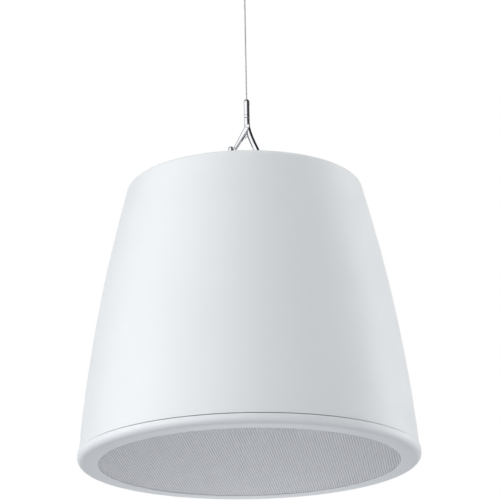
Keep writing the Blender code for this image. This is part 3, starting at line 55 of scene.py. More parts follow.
SAFETY_BOLT_RADIUS = 3 * MM
SAFETY_EYE_X = -68 * MM
CUP_RADIUS = 37.7 * MM
CUP_Y = 62 * MM
STUD_RADIUS = 1.6 * MM  # the hook's upper end, inside the rope's sleeve
NOISE = {"Detail": 3.0, "Roughness": 0.55}  # how the finer octaves of every noise pattern fade
BANDS_TO_A_UNIT = 20 / FULL_TURN  # bands of the wave texture in one unit, at a scale of 1
Tree = bpy.types.NodeTree
Socket = bpy.types.NodeSocket
Material = bpy.types.Material
Piece = bpy.types.Object
Profile = list[tuple[float, float]]
Levels = tuple[tuple[float, float], ...]
Fade = tuple[float, float, float, float]
Grid = dict[tuple[int, int], tuple[float, float]]

log = logging.getLogger("pendant_speaker")


class Body(enum.Enum):
    """The bodies that the scene's own pieces ride on."""

    SPEAKER = "speaker"
    GATE = "gate"
    KNOB = "knob"


class Slot(enum.Enum):
    """Names of the record's material slots."""

    WHITE_PLASTIC = "white_plastic"
    PAINTED_STEEL = "white_painted_steel"
    RUBBER = "black_rubber"
    BLACK_PLASTIC = "black_plastic"
    GREEN_PLASTIC = "green_plastic"
    STAINLESS = "stainless_steel"
    ZINC = "zinc_plated_steel"


# Finishes


def linear(colour: str) -> tuple[float, float, float, float]:
    """Turns an sRGB hex colour into linear light.

    Args:
        colour: six hex digits after a hash.

    Returns:
        Red, green, blue and an alpha of one.
    """
    channels = [int(colour[place : place + 2], 16) / 255 for place in (1, 3, 5)]
    red, green, blue = (c / 12.92 if c <= 0.04045 else ((c + 0.055) / 1.055) ** 2.4 for c in channels)
    return red, green, blue, 1.0


def add_node(
    tree: Tree,
    kind: str,
    settings: Optional[dict] = None,
    values: Optional[dict] = None,
    links: Optional[dict] = None,
) -> bpy.types.Node:
    """Adds one node with its settings, socket values and links.

    Args:
        tree: the node tree that gets the node.
        kind: the node's type.
        settings: attributes of the node.
        values: numbers and colours of its input sockets, by name or index.
        links: sockets that feed its inputs, by name or index.

    Returns:
        The new node.
    """
    node = tree.nodes.new(kind)
    for name, value in (settings or {}).items():
        setattr(node, name, value)
    for name, value in (values or {}).items():
        node.inputs[name].default_value = value
    for name, source in (links or {}).items():
        tree.links.new(source, node.inputs[name])
    return node


@dataclass(frozen=True)
class Finish:
    """A surface made of one material: its colour, gloss and the fine relief that its making leaves.

    The second colour shows in soft patches. Sizes are in millimetres of the real thing: grain and depth
    are the relief's, patch is that of the patches. stretch scales the pattern along x, y and z, so that a
    small number draws it out into streaks.
    """

    name: str
    colour: str
    second: str
    roughness: float
    metallic: float = 0.0
    grain: float = 0.6
    depth: float = 0.01
    patch: float = 25.0
    patch_share: float = 0.5
    gloss_change: float = 0.05
    stretch: tuple[float, float, float] = (1.0, 1.0, 1.0)
    sheen: float = 0.0

    def build(self) -> Material:
        """Makes the material.

        Returns:
            The material with its nodes.
        """
        material = bpy.data.materials.new(self.name)
        material.use_nodes = True
        tree = material.node_tree
        shader = tree.nodes["Principled BSDF"]
        shader.inputs["Metallic"].default_value = self.metallic
        shader.inputs["Sheen Weight"].default_value = self.sheen
        point = add_node(tree, "ShaderNodeTexCoord").outputs["Object"]
        mapping = add_node(tree, "ShaderNodeMapping", values={"Scale": self.stretch}, links={"Vector": point})
        place = mapping.outputs["Vector"]
        colours = {6: linear(self.colour), 7: linear(self.second)}
        tint = add_node(tree, "ShaderNodeMix", {"data_type": "RGBA"}, colours, {0: self.share(tree, place)})
        gloss = (self.roughness - self.gloss_change, self.roughness + self.gloss_change)
        rough = self.patches(tree, place, self.patch * 0.6, *gloss)
        height = {"Height": self.relief(tree, place)}
        bump = add_node(tree, "ShaderNodeBump", values={"Distance": self.depth * MM}, links=height)
        tree.links.new(tint.outputs[2], shader.inputs["Base Color"])
        tree.links.new(rough, shader.inputs["Roughness"])
        tree.links.new(bump.outputs["Normal"], shader.inputs["Normal"])
        return material

    def patches(self, tree: Tree, place: Socket, size: float, low: float, high: float) -> Socket:
        """Lets a value drift over the surface in soft patches.

        Args:
            tree: the material's node tree.
            place: the point on the piece.
            size: the size of a patch in millimetres.
            low: the value where the noise is 0.3 or less.
            high: the value where it is 0.7 or more.

        Returns:
            The socket with the value.
        """
        values = {**NOISE, "Scale": 1 / (size * MM)}
        noise = add_node(tree, "ShaderNodeTexNoise", values=values, links={"Vector": place}).outputs[0]
        limits = {"From Min": 0.3, "From Max": 0.7, "To Min": low, "To Max": high}
        return add_node(tree, "ShaderNodeMapRange", values=limits, links={"Value": noise}).outputs[0]

    def share(self, tree: Tree, place: Socket) -> Socket:
        """Gives how much of the second colour shows: soft patches of it."""
        return self.patches(tree, place, self.patch, 0, self.patch_share)

    def relief(self, tree: Tree, place: Socket) -> Socket:
        """Gives the height of the surface's fine grain."""
        values = {**NOISE, "Scale": 1 / (self.grain * MM)}
        return add_node(tree, "ShaderNodeTexNoise", values=values, links={"Vector": place}).outputs[0]


@dataclass(frozen=True)
class Woven(Finish):
    """Cloth of crossing threads; grain is the thread spacing."""

    def relief(self, tree: Tree, place: Socket) -> Socket:
        """Crosses two sets of waves.

        Args:
            tree: the material's node tree.
            place: the point on the piece.

        Returns:
            The height socket.
        """
        threads = {}
        values = {"Scale": 1 / (BANDS_TO_A_UNIT * self.grain * MM), "Distortion": 0.4}
        for number, direction in enumerate(("X", "Y")):
            settings = {"wave_type": "BANDS", "bands_direction": direction}
            wave = add_node(tree, "ShaderNodeTexWave", settings, values, {"Vector": place})
            threads[number] = wave.outputs[1]
        return add_node(tree, "ShaderNodeMath", {"operation": "MAXIMUM"}, links=threads).outputs[0]


@dataclass(frozen=True)
class Layered(Finish):
    """Turns of wire or stacked sheets.

    The first colour is the gaps', the second the metal's. grain is the pitch from one turn or sheet to
    the next, and across is its direction.
    """

    across: str = "Z"

    def share(self, tree: Tree, place: Socket) -> Socket:
        """Shows the metal on each turn or sheet, and the dark gaps between them.

        Args:
            tree: the material's node tree.
            place: the point on the piece.

        Returns:
            The socket with the bands.
        """
        settings = {"wave_type": "BANDS", "bands_direction": self.across}
        values = {"Scale": 1 / (BANDS_TO_A_UNIT * self.grain * MM), "Distortion": 0.15}
        return add_node(tree, "ShaderNodeTexWave", settings, values, {"Vector": place}).outputs[1]

    def relief(self, tree: Tree, place: Socket) -> Socket:
        """Raises each turn or sheet as its colour shows."""
        return self.share(tree, place)


@dataclass(frozen=True)
class Spangled(Finish):
    """Zinc plating, whose crystals give the eye faint flakes of lighter and darker grey."""

    def share(self, tree: Tree, place: Socket) -> Socket:
        """Gives each crystal its own grey.

        Args:
            tree: the material's node tree.
            place: the point on the piece.

        Returns:
            The socket with the share of the second grey.
        """
        values = {"Scale": 1 / (self.patch * MM)}
        flake = add_node(tree, "ShaderNodeTexVoronoi", values=values, links={"Vector": place})
        return add_node(tree, "ShaderNodeRGBToBW", links={"Color": flake.outputs["Color"]}).outputs[0]


FINISHES: dict[str, Finish] = {
    finish.name: finish
    for finish in (
        # Injection-moulded ABS: a soft satin white with a fine spark-eroded grain and slight tone changes
        Finish(
            "moulded_white_abs", "#E8EBED", "#E5E8EA", 0.42,
            grain=0.7, depth=0.012, patch=60, patch_share=0.6,
        ),
        # Powder coat on perforated steel: faint orange peel, a little paler and duller than the mouldings
        Finish("powder_coated_steel", "#F1F2F5", "#EDEEF1", 0.5, grain=1.4, depth=0.02, patch=35),
        # Painted shade: the punched holes' walls get a darker grey, which stands in for the shade inside the
        # holes
        Finish("hole_wall_painted_shade", "#D5D6DA", "#CBCCD1", 0.6, grain=0.8, depth=0.01, patch=12),
        # EPDM rubber: matt black with a dusty bloom
        Finish("moulded_epdm", "#26272B", "#34353A", 0.75, grain=0.4, depth=0.02, patch=12),
        # Polyester acoustic cloth: a grey weave of 0.8 mm threads with soft edges
        Woven("woven_acoustic_cloth", "#6B6C72", "#5F6066", 0.95, grain=0.8, depth=0.15, patch=20, sheen=0.3),
        # Polyester wadding: matted white fibres in loose lumps
        Finish(
            "needled_wadding", "#D8D6CF", "#BDBAB2", 1.0,
            grain=3.0, depth=0.9, patch=14, sheen=0.4, gloss_change=0,
        ),
        # Glass-filled black ABS: satin black with a coarser moulded grain
        Finish("moulded_black_abs", "#202124", "#2A2B2F", 0.5, grain=0.9, depth=0.03, patch=30),
        # Polyamide of the screw connector: saturated green, slightly glossy
        Finish("moulded_green_polyamide", "#2E7D4A", "#2A7244", 0.38, grain=0.8, depth=0.01, patch=9),
        # Coated paper: dark felted fibres, matt
        Finish("felted_cone_paper", "#2D2D31", "#3A3A3F", 0.8, grain=1.6, depth=0.08, patch=18),
        # Polished 316 stainless: mirror-like, with drawing lines along the rod
        Finish(
            "polished_stainless", "#E4E5E8", "#DADBDF", 0.09, 1.0,
            grain=0.5, depth=0.003, patch=6, gloss_change=0.035, stretch=(1, 1, 0.15),
        ),
        # Drawn stainless wire in fine strands: their many small glints blur to a satin grey
        Finish("drawn_stainless_wire", "#D6D8DB", "#CCCED1", 0.55, 0.55, grain=0.15, depth=0.004, patch=3),
        # Zinc-plated steel: bluish satin grey, 2.5 mm crystals
        Spangled("zinc_plated_steel", "#BFC5CC", "#AEB5BD", 0.34, 1.0, grain=0.5, depth=0.006, patch=2.5),
        # Hard ferrite: dull charcoal, ground faces
        Finish("ground_ferrite", "#3A3B3F", "#47484C", 0.65, grain=0.8, depth=0.03, patch=9),
        # Silicon-steel sheets of 0.5 mm, stacked: dark lines between grey edges
        Layered(
            "stacked_lamination_steel", "#4A4B4E", "#8B8D91", 0.45, 0.8,
            grain=0.5, depth=0.08, across="Y",
        ),
        # Enamelled copper wire of 0.6 mm, wound in layers
        Layered("enamelled_copper_wire", "#6E3617", "#B8693A", 0.32, 0.7, grain=0.6, depth=0.15),
        # Solder-resist on glass-fibre board: deep green with the weave just showing
        Woven("solder_masked_board", "#1F5C38", "#1A4F30", 0.4, grain=0.6, depth=0.01, patch=15),
        # Polyester-film capacitor wrap: amber, glossy, slightly wrinkled
        Finish("wound_polyester_film", "#C9A63C", "#B8922E", 0.3, grain=3.5, depth=0.06, patch=8),
        # Cement body of the power resistor: chalky with open pores
        Finish("cast_cement", "#DAD8D0", "#C6C3B9", 0.9, grain=0.5, depth=0.12, patch=6),
    )
}


@dataclass
class Wardrobe:
    """Makes each finish once and hands it to the pieces."""

    made: dict[str, Material] = field(default_factory=dict)

    def __getitem__(self, name: str) -> Material:
        """Gives a material, made at its first use.

        Args:
            name: the finish.

        Returns:
            Its material.
        """
        if name not in self.made:
            self.made[name] = FINISHES[name].build()
        return self.made[name]


# Meshes


def to_piece(name: str, bm: bmesh.types.BMesh, finish: Material, sharp: float = 35.0) -> Piece:
    """Turns a bmesh into an object with outward normals and smooth shading.

    Args:
        name: the piece's name.
        bm: its mesh, which is freed.
        finish: its material.
        sharp: edges that bend more than this many degrees stay sharp.

    Returns:
        The linked object.
    """
    bmesh.ops.recalc_face_normals(bm, faces=bm.faces)
    mesh = bpy.data.meshes.new(name)
    bm.to_mesh(mesh)
    bm.free()
    mesh.materials.append(finish)
    made = bpy.data.objects.new(name, mesh)
    bpy.context.scene.collection.objects.link(made)
    smooth(made, sharp)
    return made


def smooth(piece: Piece, sharp: float = 35.0) -> None:
    """Shades a piece smooth but keeps its corners.

    Args:
        piece: the mesh object.
        sharp: the angle in degrees from which an edge stays sharp.
    """
    piece.data.shade_smooth()
    piece.data.set_sharp_from_angle(angle=math.radians(sharp))


def contour(corners: Iterable[tuple[float, float, float]], steps: int = 5) -> Profile:
    """Rounds the corners of a closed profile.

    Args:
        corners: radius, height and fillet of each corner, in metres.
        steps: points on each fillet.

    Returns:
        The profile's points.
    """
    corners = list(corners)
    made = []
    for index, (radius, height, fillet) in enumerate(corners):
        here = Vector((radius, height))
        if not fillet:
            made.append((radius, height))
            continue
        before = Vector(corners[index - 1][:2]) - here
        after = Vector(corners[(index + 1) % len(corners)][:2]) - here
        cut = min(fillet / math.tan(before.angle(after) / 2), before.length * 0.49, after.length * 0.49)
        start, end = here + before.normalized() * cut, here + after.normalized() * cut
        for step in range(steps + 1):
            t = step / steps
            point = start * (1 - t) ** 2 + here * 2 * t * (1 - t) + end * t**2
            made.append((point.x, point.y))
    return made


def lathe(
    name: str,
    profile: Profile,
    steps: int,
    at: Vector,
    finish: Material,
    relief: Optional[Callable[[float, float, float], float]] = None,
) -> Piece:
    """Turns a profile round the vertical axis.

    Args:
        name: the piece's name.
        profile: points of radius and height, closed, or with both ends on the axis.
        steps: faces round the axis.
        at: where the axis and height 0 lie.
        finish: the material.
        relief: gives the radius from angle, radius and height, for flutes and knurls.

    Returns:
        The piece.
    """
    bm = bmesh.new()
    rings = []
    for radius, height in profile:
        if radius < 1e-7:
            rings.append([bm.verts.new(at + Vector((0, 0, height)))])
            continue
        ring = []
        for step in range(steps):
            angle = FULL_TURN * step / steps
            reach = relief(angle, radius, height) if relief else radius
            ring.append(bm.verts.new(at + Vector((reach * math.cos(angle), reach * math.sin(angle), height))))
        rings.append(ring)
    for first, second in zip(rings, rings[1:] + rings[:1]):
        if len(first) == len(second) == 1:
            continue
        for step in range(steps):
            after = (step + 1) % steps
            corners = [first[step % len(first)], first[after % len(first)], second[after % len(second)]]
            corners.append(second[step % len(second)])
            bm.faces.new(list(dict.fromkeys(corners)))
    return to_piece(name, bm, finish)


def ring_of(
    bm: bmesh.types.BMesh, middle: Vector, radius: float, first: Vector, second: Vector, sides: int
) -> list[bmesh.types.BMVert]:
    """Sets a ring of corners round a point.

    Args:
        bm: the mesh that gets them.
        middle: the point.
        radius: the ring's radius.
        first: one direction of the ring's plane.
        second: the other, square to it.
        sides: how many corners it has.

    Returns:
        The corners in their order.
    """
    turns = [FULL_TURN * side / sides for side in range(sides)]
    return [bm.verts.new(middle + radius * (math.cos(a) * first + math.sin(a) * second)) for a in turns]


def skin(bm: bmesh.types.BMesh, rings: Sequence[Sequence[bmesh.types.BMVert]], closed: bool = False) -> None:
    """Joins rings of corners with faces, and caps both ends of an open row.

    Args:
        bm: the mesh that gets the faces.
        rings: the rings in their order, with as many corners each.
        closed: joins the last ring to the first.
    """
    pairs = list(zip(rings, [*rings[1:], rings[0]]))
    for first, second in pairs if closed else pairs[:-1]:
        for step, corner in enumerate(first):
            after = (step + 1) % len(first)
            bm.faces.new((corner, first[after], second[after], second[step]))
    if not closed:
        bm.faces.new(rings[0])
        bm.faces.new(rings[-1])


def sweep(
    name: str,
    route: Sequence[Vector],
    radii: Sequence[float],
    sides: int,
    finish: Material,
    across: Vector,
    closed: bool = False,
) -> Piece:
    """Draws a round rod along a route that lies in one plane.

    Args:
        name: the piece's name.
        route: points of the rod's middle line.
        radii: the rod's radius at each.
        sides: faces round the rod.
        finish: the material.
        across: the direction square to the route's plane.
        closed: joins the end to the start.

    Returns:
        The piece.
    """
    bm = bmesh.new()
    count = len(route)
    rings = []
    for index, point in enumerate(route):
        before = route[(index - 1) % count if closed else max(index - 1, 0)]
        after = route[(index + 1) % count if closed else min(index + 1, count - 1)]
        normal = across.cross(after - before).normalized()
        rings.append(ring_of(bm, point, radii[index], normal, across, sides))
    skin(bm, rings, closed)
    return to_piece(name, bm, finish)


def spline(points: Sequence[Vector], steps: int) -> list[Vector]:
    """Draws a smooth curve through points.

    Args:
        points: the points.
        steps: stretches between two of them.

    Returns:
        The points on the curve.
    """
    padded = [2 * points[0] - points[1], *points, 2 * points[-1] - points[-2]]
    route = []
    for a, b, c, d in zip(padded, padded[1:], padded[2:], padded[3:]):
        for step in range(steps):
            t = step / steps
            bend = (2 * a - 5 * b + 4 * c - d) * t**2 + (3 * b - 3 * c + d - a) * t**3
            route.append(b + 0.5 * ((c - a) * t + bend))
    return [*route, points[-1]]


def block(
    name: str, size: Sequence[float], centre: Vector, finish: Material, bevel: float = 0.0, turn: float = 0.0
) -> Piece:
    """Makes a box with rounded edges.

    Args:
        name: the piece's name.
        size: its three lengths.
        centre: its middle.
        finish: the material.
        bevel: the radius of its edges.
        turn: its turn about the vertical, in radians.

    Returns:
        The piece.
    """
    bm = bmesh.new()
    bmesh.ops.create_cube(bm, size=1)
    bmesh.ops.scale(bm, vec=size, verts=bm.verts)
    if bevel:
        bmesh.ops.bevel(bm, geom=list(bm.edges), offset=bevel, segments=3, affect="EDGES", profile=0.5)
    bm.transform(Matrix.Translation(centre) @ Matrix.Rotation(turn, 4, "Z"))
    return to_piece(name, bm, finish)


def prism(name: str, outline: Profile, low: float, high: float, frame_at: Matrix, finish: Material) -> Piece:
    """Raises a flat outline into a solid.

    Args:
        name: the piece's name.
        outline: its corners in the plane.
        low: the height of one face.
        high: the height of the other.
        frame_at: where the plane lies.
        finish: the material.

    Returns:
        The piece.
    """
    bm = bmesh.new()
    bottom = [bm.verts.new((x, y, low)) for x, y in outline]
    top = [bm.verts.new((x, y, high)) for x, y in outline]
    bm.faces.new(bottom)
    bm.faces.new(top)
    for index, first in enumerate(bottom):
        after = (index + 1) % len(bottom)
        bm.faces.new((first, bottom[after], top[after], top[index]))
    bm.transform(frame_at)
    return to_piece(name, bm, finish)


def carve(target: Piece, cutters: Iterable[Piece], join: bool = False) -> None:
    """Cuts pieces out of another, or joins them to it, and removes them.

    Args:
        target: the piece that changes.
        cutters: the pieces that cut.
        join: joins them instead.
    """
    for cutter in cutters:
        cut = target.modifiers.new("carve", "BOOLEAN")
        cut.operation = "UNION" if join else "DIFFERENCE"
        cut.solver = "EXACT"
        cut.object = cutter
        settle(target)
        bpy.data.objects.remove(cutter)
    smooth(target)


def soften(target: Piece, width: float, segments: int = 2) -> Piece:
    """Rounds the sharp edges of a piece, as its making does.

    Args:
        target: the piece.
        width: the width of the rounding.
        segments: its faces.

    Returns:
        The rounded piece.
    """
    bevel = target.modifiers.new("edges", "BEVEL")
    bevel.width = width
    bevel.segments = segments
    bevel.limit_method = "ANGLE"
    bevel.angle_limit = math.radians(35)
    settle(target)
    smooth(target)
    target.modifiers.new("flat_faces", "WEIGHTED_NORMAL").keep_sharp = True
    settle(target)
    return target


def settle(target: Piece) -> None:
    """Applies a piece's modifiers.

    Args:
        target: the piece.
    """
    evaluated = target.evaluated_get(bpy.context.evaluated_depsgraph_get())
    old = target.data
    target.data = bpy.data.meshes.new_from_object(evaluated)
    target.modifiers.clear()
    bpy.data.meshes.remove(old)


def circle_points(radius: float, steps: int, start: float = 0.0) -> Profile:
    """Gives the corners of a circle in the plane."""
    angles = [start + FULL_TURN * step / steps for step in range(steps)]
    return [(radius * math.cos(a), radius * math.sin(a)) for a in angles]


def dress(piece: Piece, body: Body, slot: Slot, *nodes: str) -> Piece:
    """Rides a piece on its body and lets it stand for CAD nodes.

    Args:
        piece: the finished piece.
        body: the body that it moves with.
        slot: the record's slot of its finish; not used.
        *nodes: the CAD nodes that it replaces.

    Returns:
        The piece.
    """
    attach(piece, body.value)
    if nodes:
        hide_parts(*nodes)
    log.info("%s: %d faces on %s", piece.name, len(piece.data.polygons), body.value)
    return piece


# Studio


@dataclass
class Studio:
    """Camera, floor and light.

    Levels go by direction in degrees, 0 the front and -90 the left. A fade gives two heights of the
    sky, as sines of the rise, and the light's share below the first and above the second.
    """

    lens: float = 175.2
    sensor: float = 36
    sight: float = 200
    pitch: float = 17.975
    roll: float = -1.057
    camera_at: Vector = field(default_factory=lambda: Vector((0.00072, -2.3042, -1.0519)))
    floor_height: float = -6.0
    floor_size: float = 60.0
    floor_colour: str = "#BABCC0"
    shown_floor_colour: str = "#EEEEEF"
    floor_roughness: float = 0.9
    floor_specular: float = 0.2
    soft_light: Levels = (
        (-180, 0.12), (-150, 0.45), (-120, 0.1), (-90, 3.78), (-60, 3.03), (-30, 0.11),
        (0, 0.18), (30, 2.88), (60, 0.1), (90, 0.2), (120, 4.5), (150, 2.0), (180, 0.12),
    )
    soft_fade: Fade = (0.45, 0.75, 1.0, 0.45)
    shine: Levels = (
        (-180, 0.8), (-160, 0.7), (-148, 0.1), (-122, 0.1), (-112, 1.2), (4, 1.25),
        (11, 0.12), (24, 0.06), (150, 0.06), (162, 0.6), (180, 0.8),
    )
    ceiling_fade: Fade = (0.4, 0.5, 1.0, 0.3)
    overhead_fade: Fade = (0.88, 0.94, 0.0, 0.7)
    fill_at: Vector = field(default_factory=lambda: Vector((0, 0.3, -0.8)))
    fill_target: Vector = field(default_factory=lambda: Vector((0, 0, -0.52)))
    fill_size: float = 0.3
    fill_power: float = 0.34

    def build(self) -> None:
        """Makes the camera, the floor and the light."""
        self.make_camera()
        self.make_floor()
        self.make_fill()
        self.make_light()

    def make_camera(self) -> None:
        """Stands the camera below the speaker, looking up at it."""
        data = bpy.data.cameras.new("camera")
        data.lens = self.lens
        data.sensor_width = self.sensor
        data.clip_end = self.sight
        camera = bpy.data.objects.new("camera", data)
        bpy.context.scene.collection.objects.link(camera)
        look = Matrix.Rotation(math.radians(90 + self.pitch), 4, "X")
        lean = Matrix.Rotation(math.radians(self.roll), 4, "Z")
        camera.matrix_world = Matrix.Translation(self.camera_at) @ look @ lean
        bpy.context.scene.camera = camera

    def make_floor(self) -> None:
        """Lays a pale floor that keeps the object's shadow and lights the underside."""
        bm = bmesh.new()
        bmesh.ops.create_grid(bm, x_segments=8, y_segments=8, size=self.floor_size / 2)
        bm.transform(Matrix.Translation((0, 0, self.floor_height)))
        material = bpy.data.materials.new("painted_studio_floor")
        material.use_nodes = True
        tree = material.node_tree
        shader = tree.nodes["Principled BSDF"]
        rays = add_node(tree, "ShaderNodeLightPath")
        colours = {6: linear(self.floor_colour), 7: linear(self.shown_floor_colour)}
        seen = {0: rays.outputs["Is Camera Ray"]}
        shown = add_node(tree, "ShaderNodeMix", {"data_type": "RGBA"}, colours, seen)
        tree.links.new(shown.outputs[2], shader.inputs["Base Color"])
        shader.inputs["Roughness"].default_value = self.floor_roughness
        shader.inputs["Specular IOR Level"].default_value = self.floor_specular
        to_piece("studio_floor", bm, material)

    def make_fill(self) -> None:
        """Sets a soft lamp low behind the speaker, which brightens the far side of its underside."""
        data = bpy.data.lights.new("low_fill", "AREA")
        data.shape = "DISK"
        data.size = self.fill_size
        data.energy = self.fill_power
        lamp = bpy.data.objects.new("low_fill", data)
        bpy.context.scene.collection.objects.link(lamp)
        lamp.location = self.fill_at
        lamp.rotation_euler = (self.fill_target - self.fill_at).to_track_quat("-Z", "Y").to_euler()
        lamp.visible_camera = False

    def make_light(self) -> None:
        """Lights the world: white to the camera, and soft boxes by direction to the surfaces."""
        scene = bpy.context.scene
        scene.view_settings.view_transform = "Standard"
        world = bpy.data.worlds.new("studio")
        scene.world = world
        world.use_nodes = True
        tree = world.node_tree
        tree.nodes.clear()
        point = add_node(tree, "ShaderNodeTexCoord").outputs["Generated"]
        sides = add_node(tree, "ShaderNodeSeparateXYZ", links={"Vector": point}).outputs
        front = add_node(tree, "ShaderNodeMath", {"operation": "MULTIPLY"}, {1: -1.0}, {0: sides["Y"]})
        across = {0: sides["X"], 1: front.outputs[0]}
        angle = add_node(tree, "ShaderNodeMath", {"operation": "ARCTAN2"}, links=across).outputs[0]
        ends = {"From Min": -math.pi, "From Max": math.pi}
        share = add_node(tree, "ShaderNodeMapRange", values=ends, links={"Value": angle}).outputs[0]
        zones = []
        for low, high, below, above in (self.soft_fade, self.ceiling_fade, self.overhead_fade):
            values = {"From Min": low, "From Max": high, "To Min": below, "To Max": above}
            zone = add_node(tree, "ShaderNodeMapRange", values=values, links={"Value": sides["Z"]})
            zones.append(zone.outputs[0])
        upper = add_node(tree, "ShaderNodeMath", {"operation": "ADD"}, links={0: zones[1], 1: zones[2]})
        soft = self.boxes(tree, share, self.soft_light, zones[0])
        shine = self.boxes(tree, share, self.shine, upper.outputs[0])
        rays = add_node(tree, "ShaderNodeLightPath").outputs
        sharp = {0: rays["Is Glossy Ray"], 1: rays["Is Transmission Ray"]}
        sharp_ray = add_node(tree, "ShaderNodeMath", {"operation": "MAXIMUM"}, links=sharp).outputs[0]
        lit = add_node(tree, "ShaderNodeMixShader", links={0: sharp_ray, 1: soft, 2: shine}).outputs[0]
        plain = {"Color": linear("#FFFFFF"), "Strength": 1.0}
        white = add_node(tree, "ShaderNodeBackground", values=plain).outputs[0]
        shown = add_node(tree, "ShaderNodeMixShader", links={0: rays["Is Camera Ray"], 1: lit, 2: white})
        add_node(tree, "ShaderNodeOutputWorld", links={"Surface": shown.outputs[0]})

    def boxes(self, tree: Tree, share: Socket, levels: Levels, zones: Socket) -> Socket:
        """Spreads brightness levels round the horizon.

        Args:
            tree: the world's node tree.
            share: the direction round the horizon, from 0 at the back over the left to 1.
            levels: directions in degrees and the brightness at each.
            zones: the share of light by height.

        Returns:
            The background's shader socket.
        """
        top = max(level for _, level in levels)
        ramp = add_node(tree, "ShaderNodeValToRGB", links={"Fac": share})
        stops = ramp.color_ramp.elements
        while len(stops) < len(levels):
            stops.new(0.5)
        for stop, (direction, level) in zip(stops, levels):
            stop.position = (direction + 180) / 360
            stop.color = (level / top,) * 3 + (1,)
        strength = add_node(tree, "ShaderNodeMath", {"operation": "MULTIPLY"}, {1: top}, {0: zones})
        colour = {"Color": ramp.outputs["Color"], "Strength": strength.outputs[0]}
        return add_node(tree, "ShaderNodeBackground", links=colour).outputs[0]


# Suspension


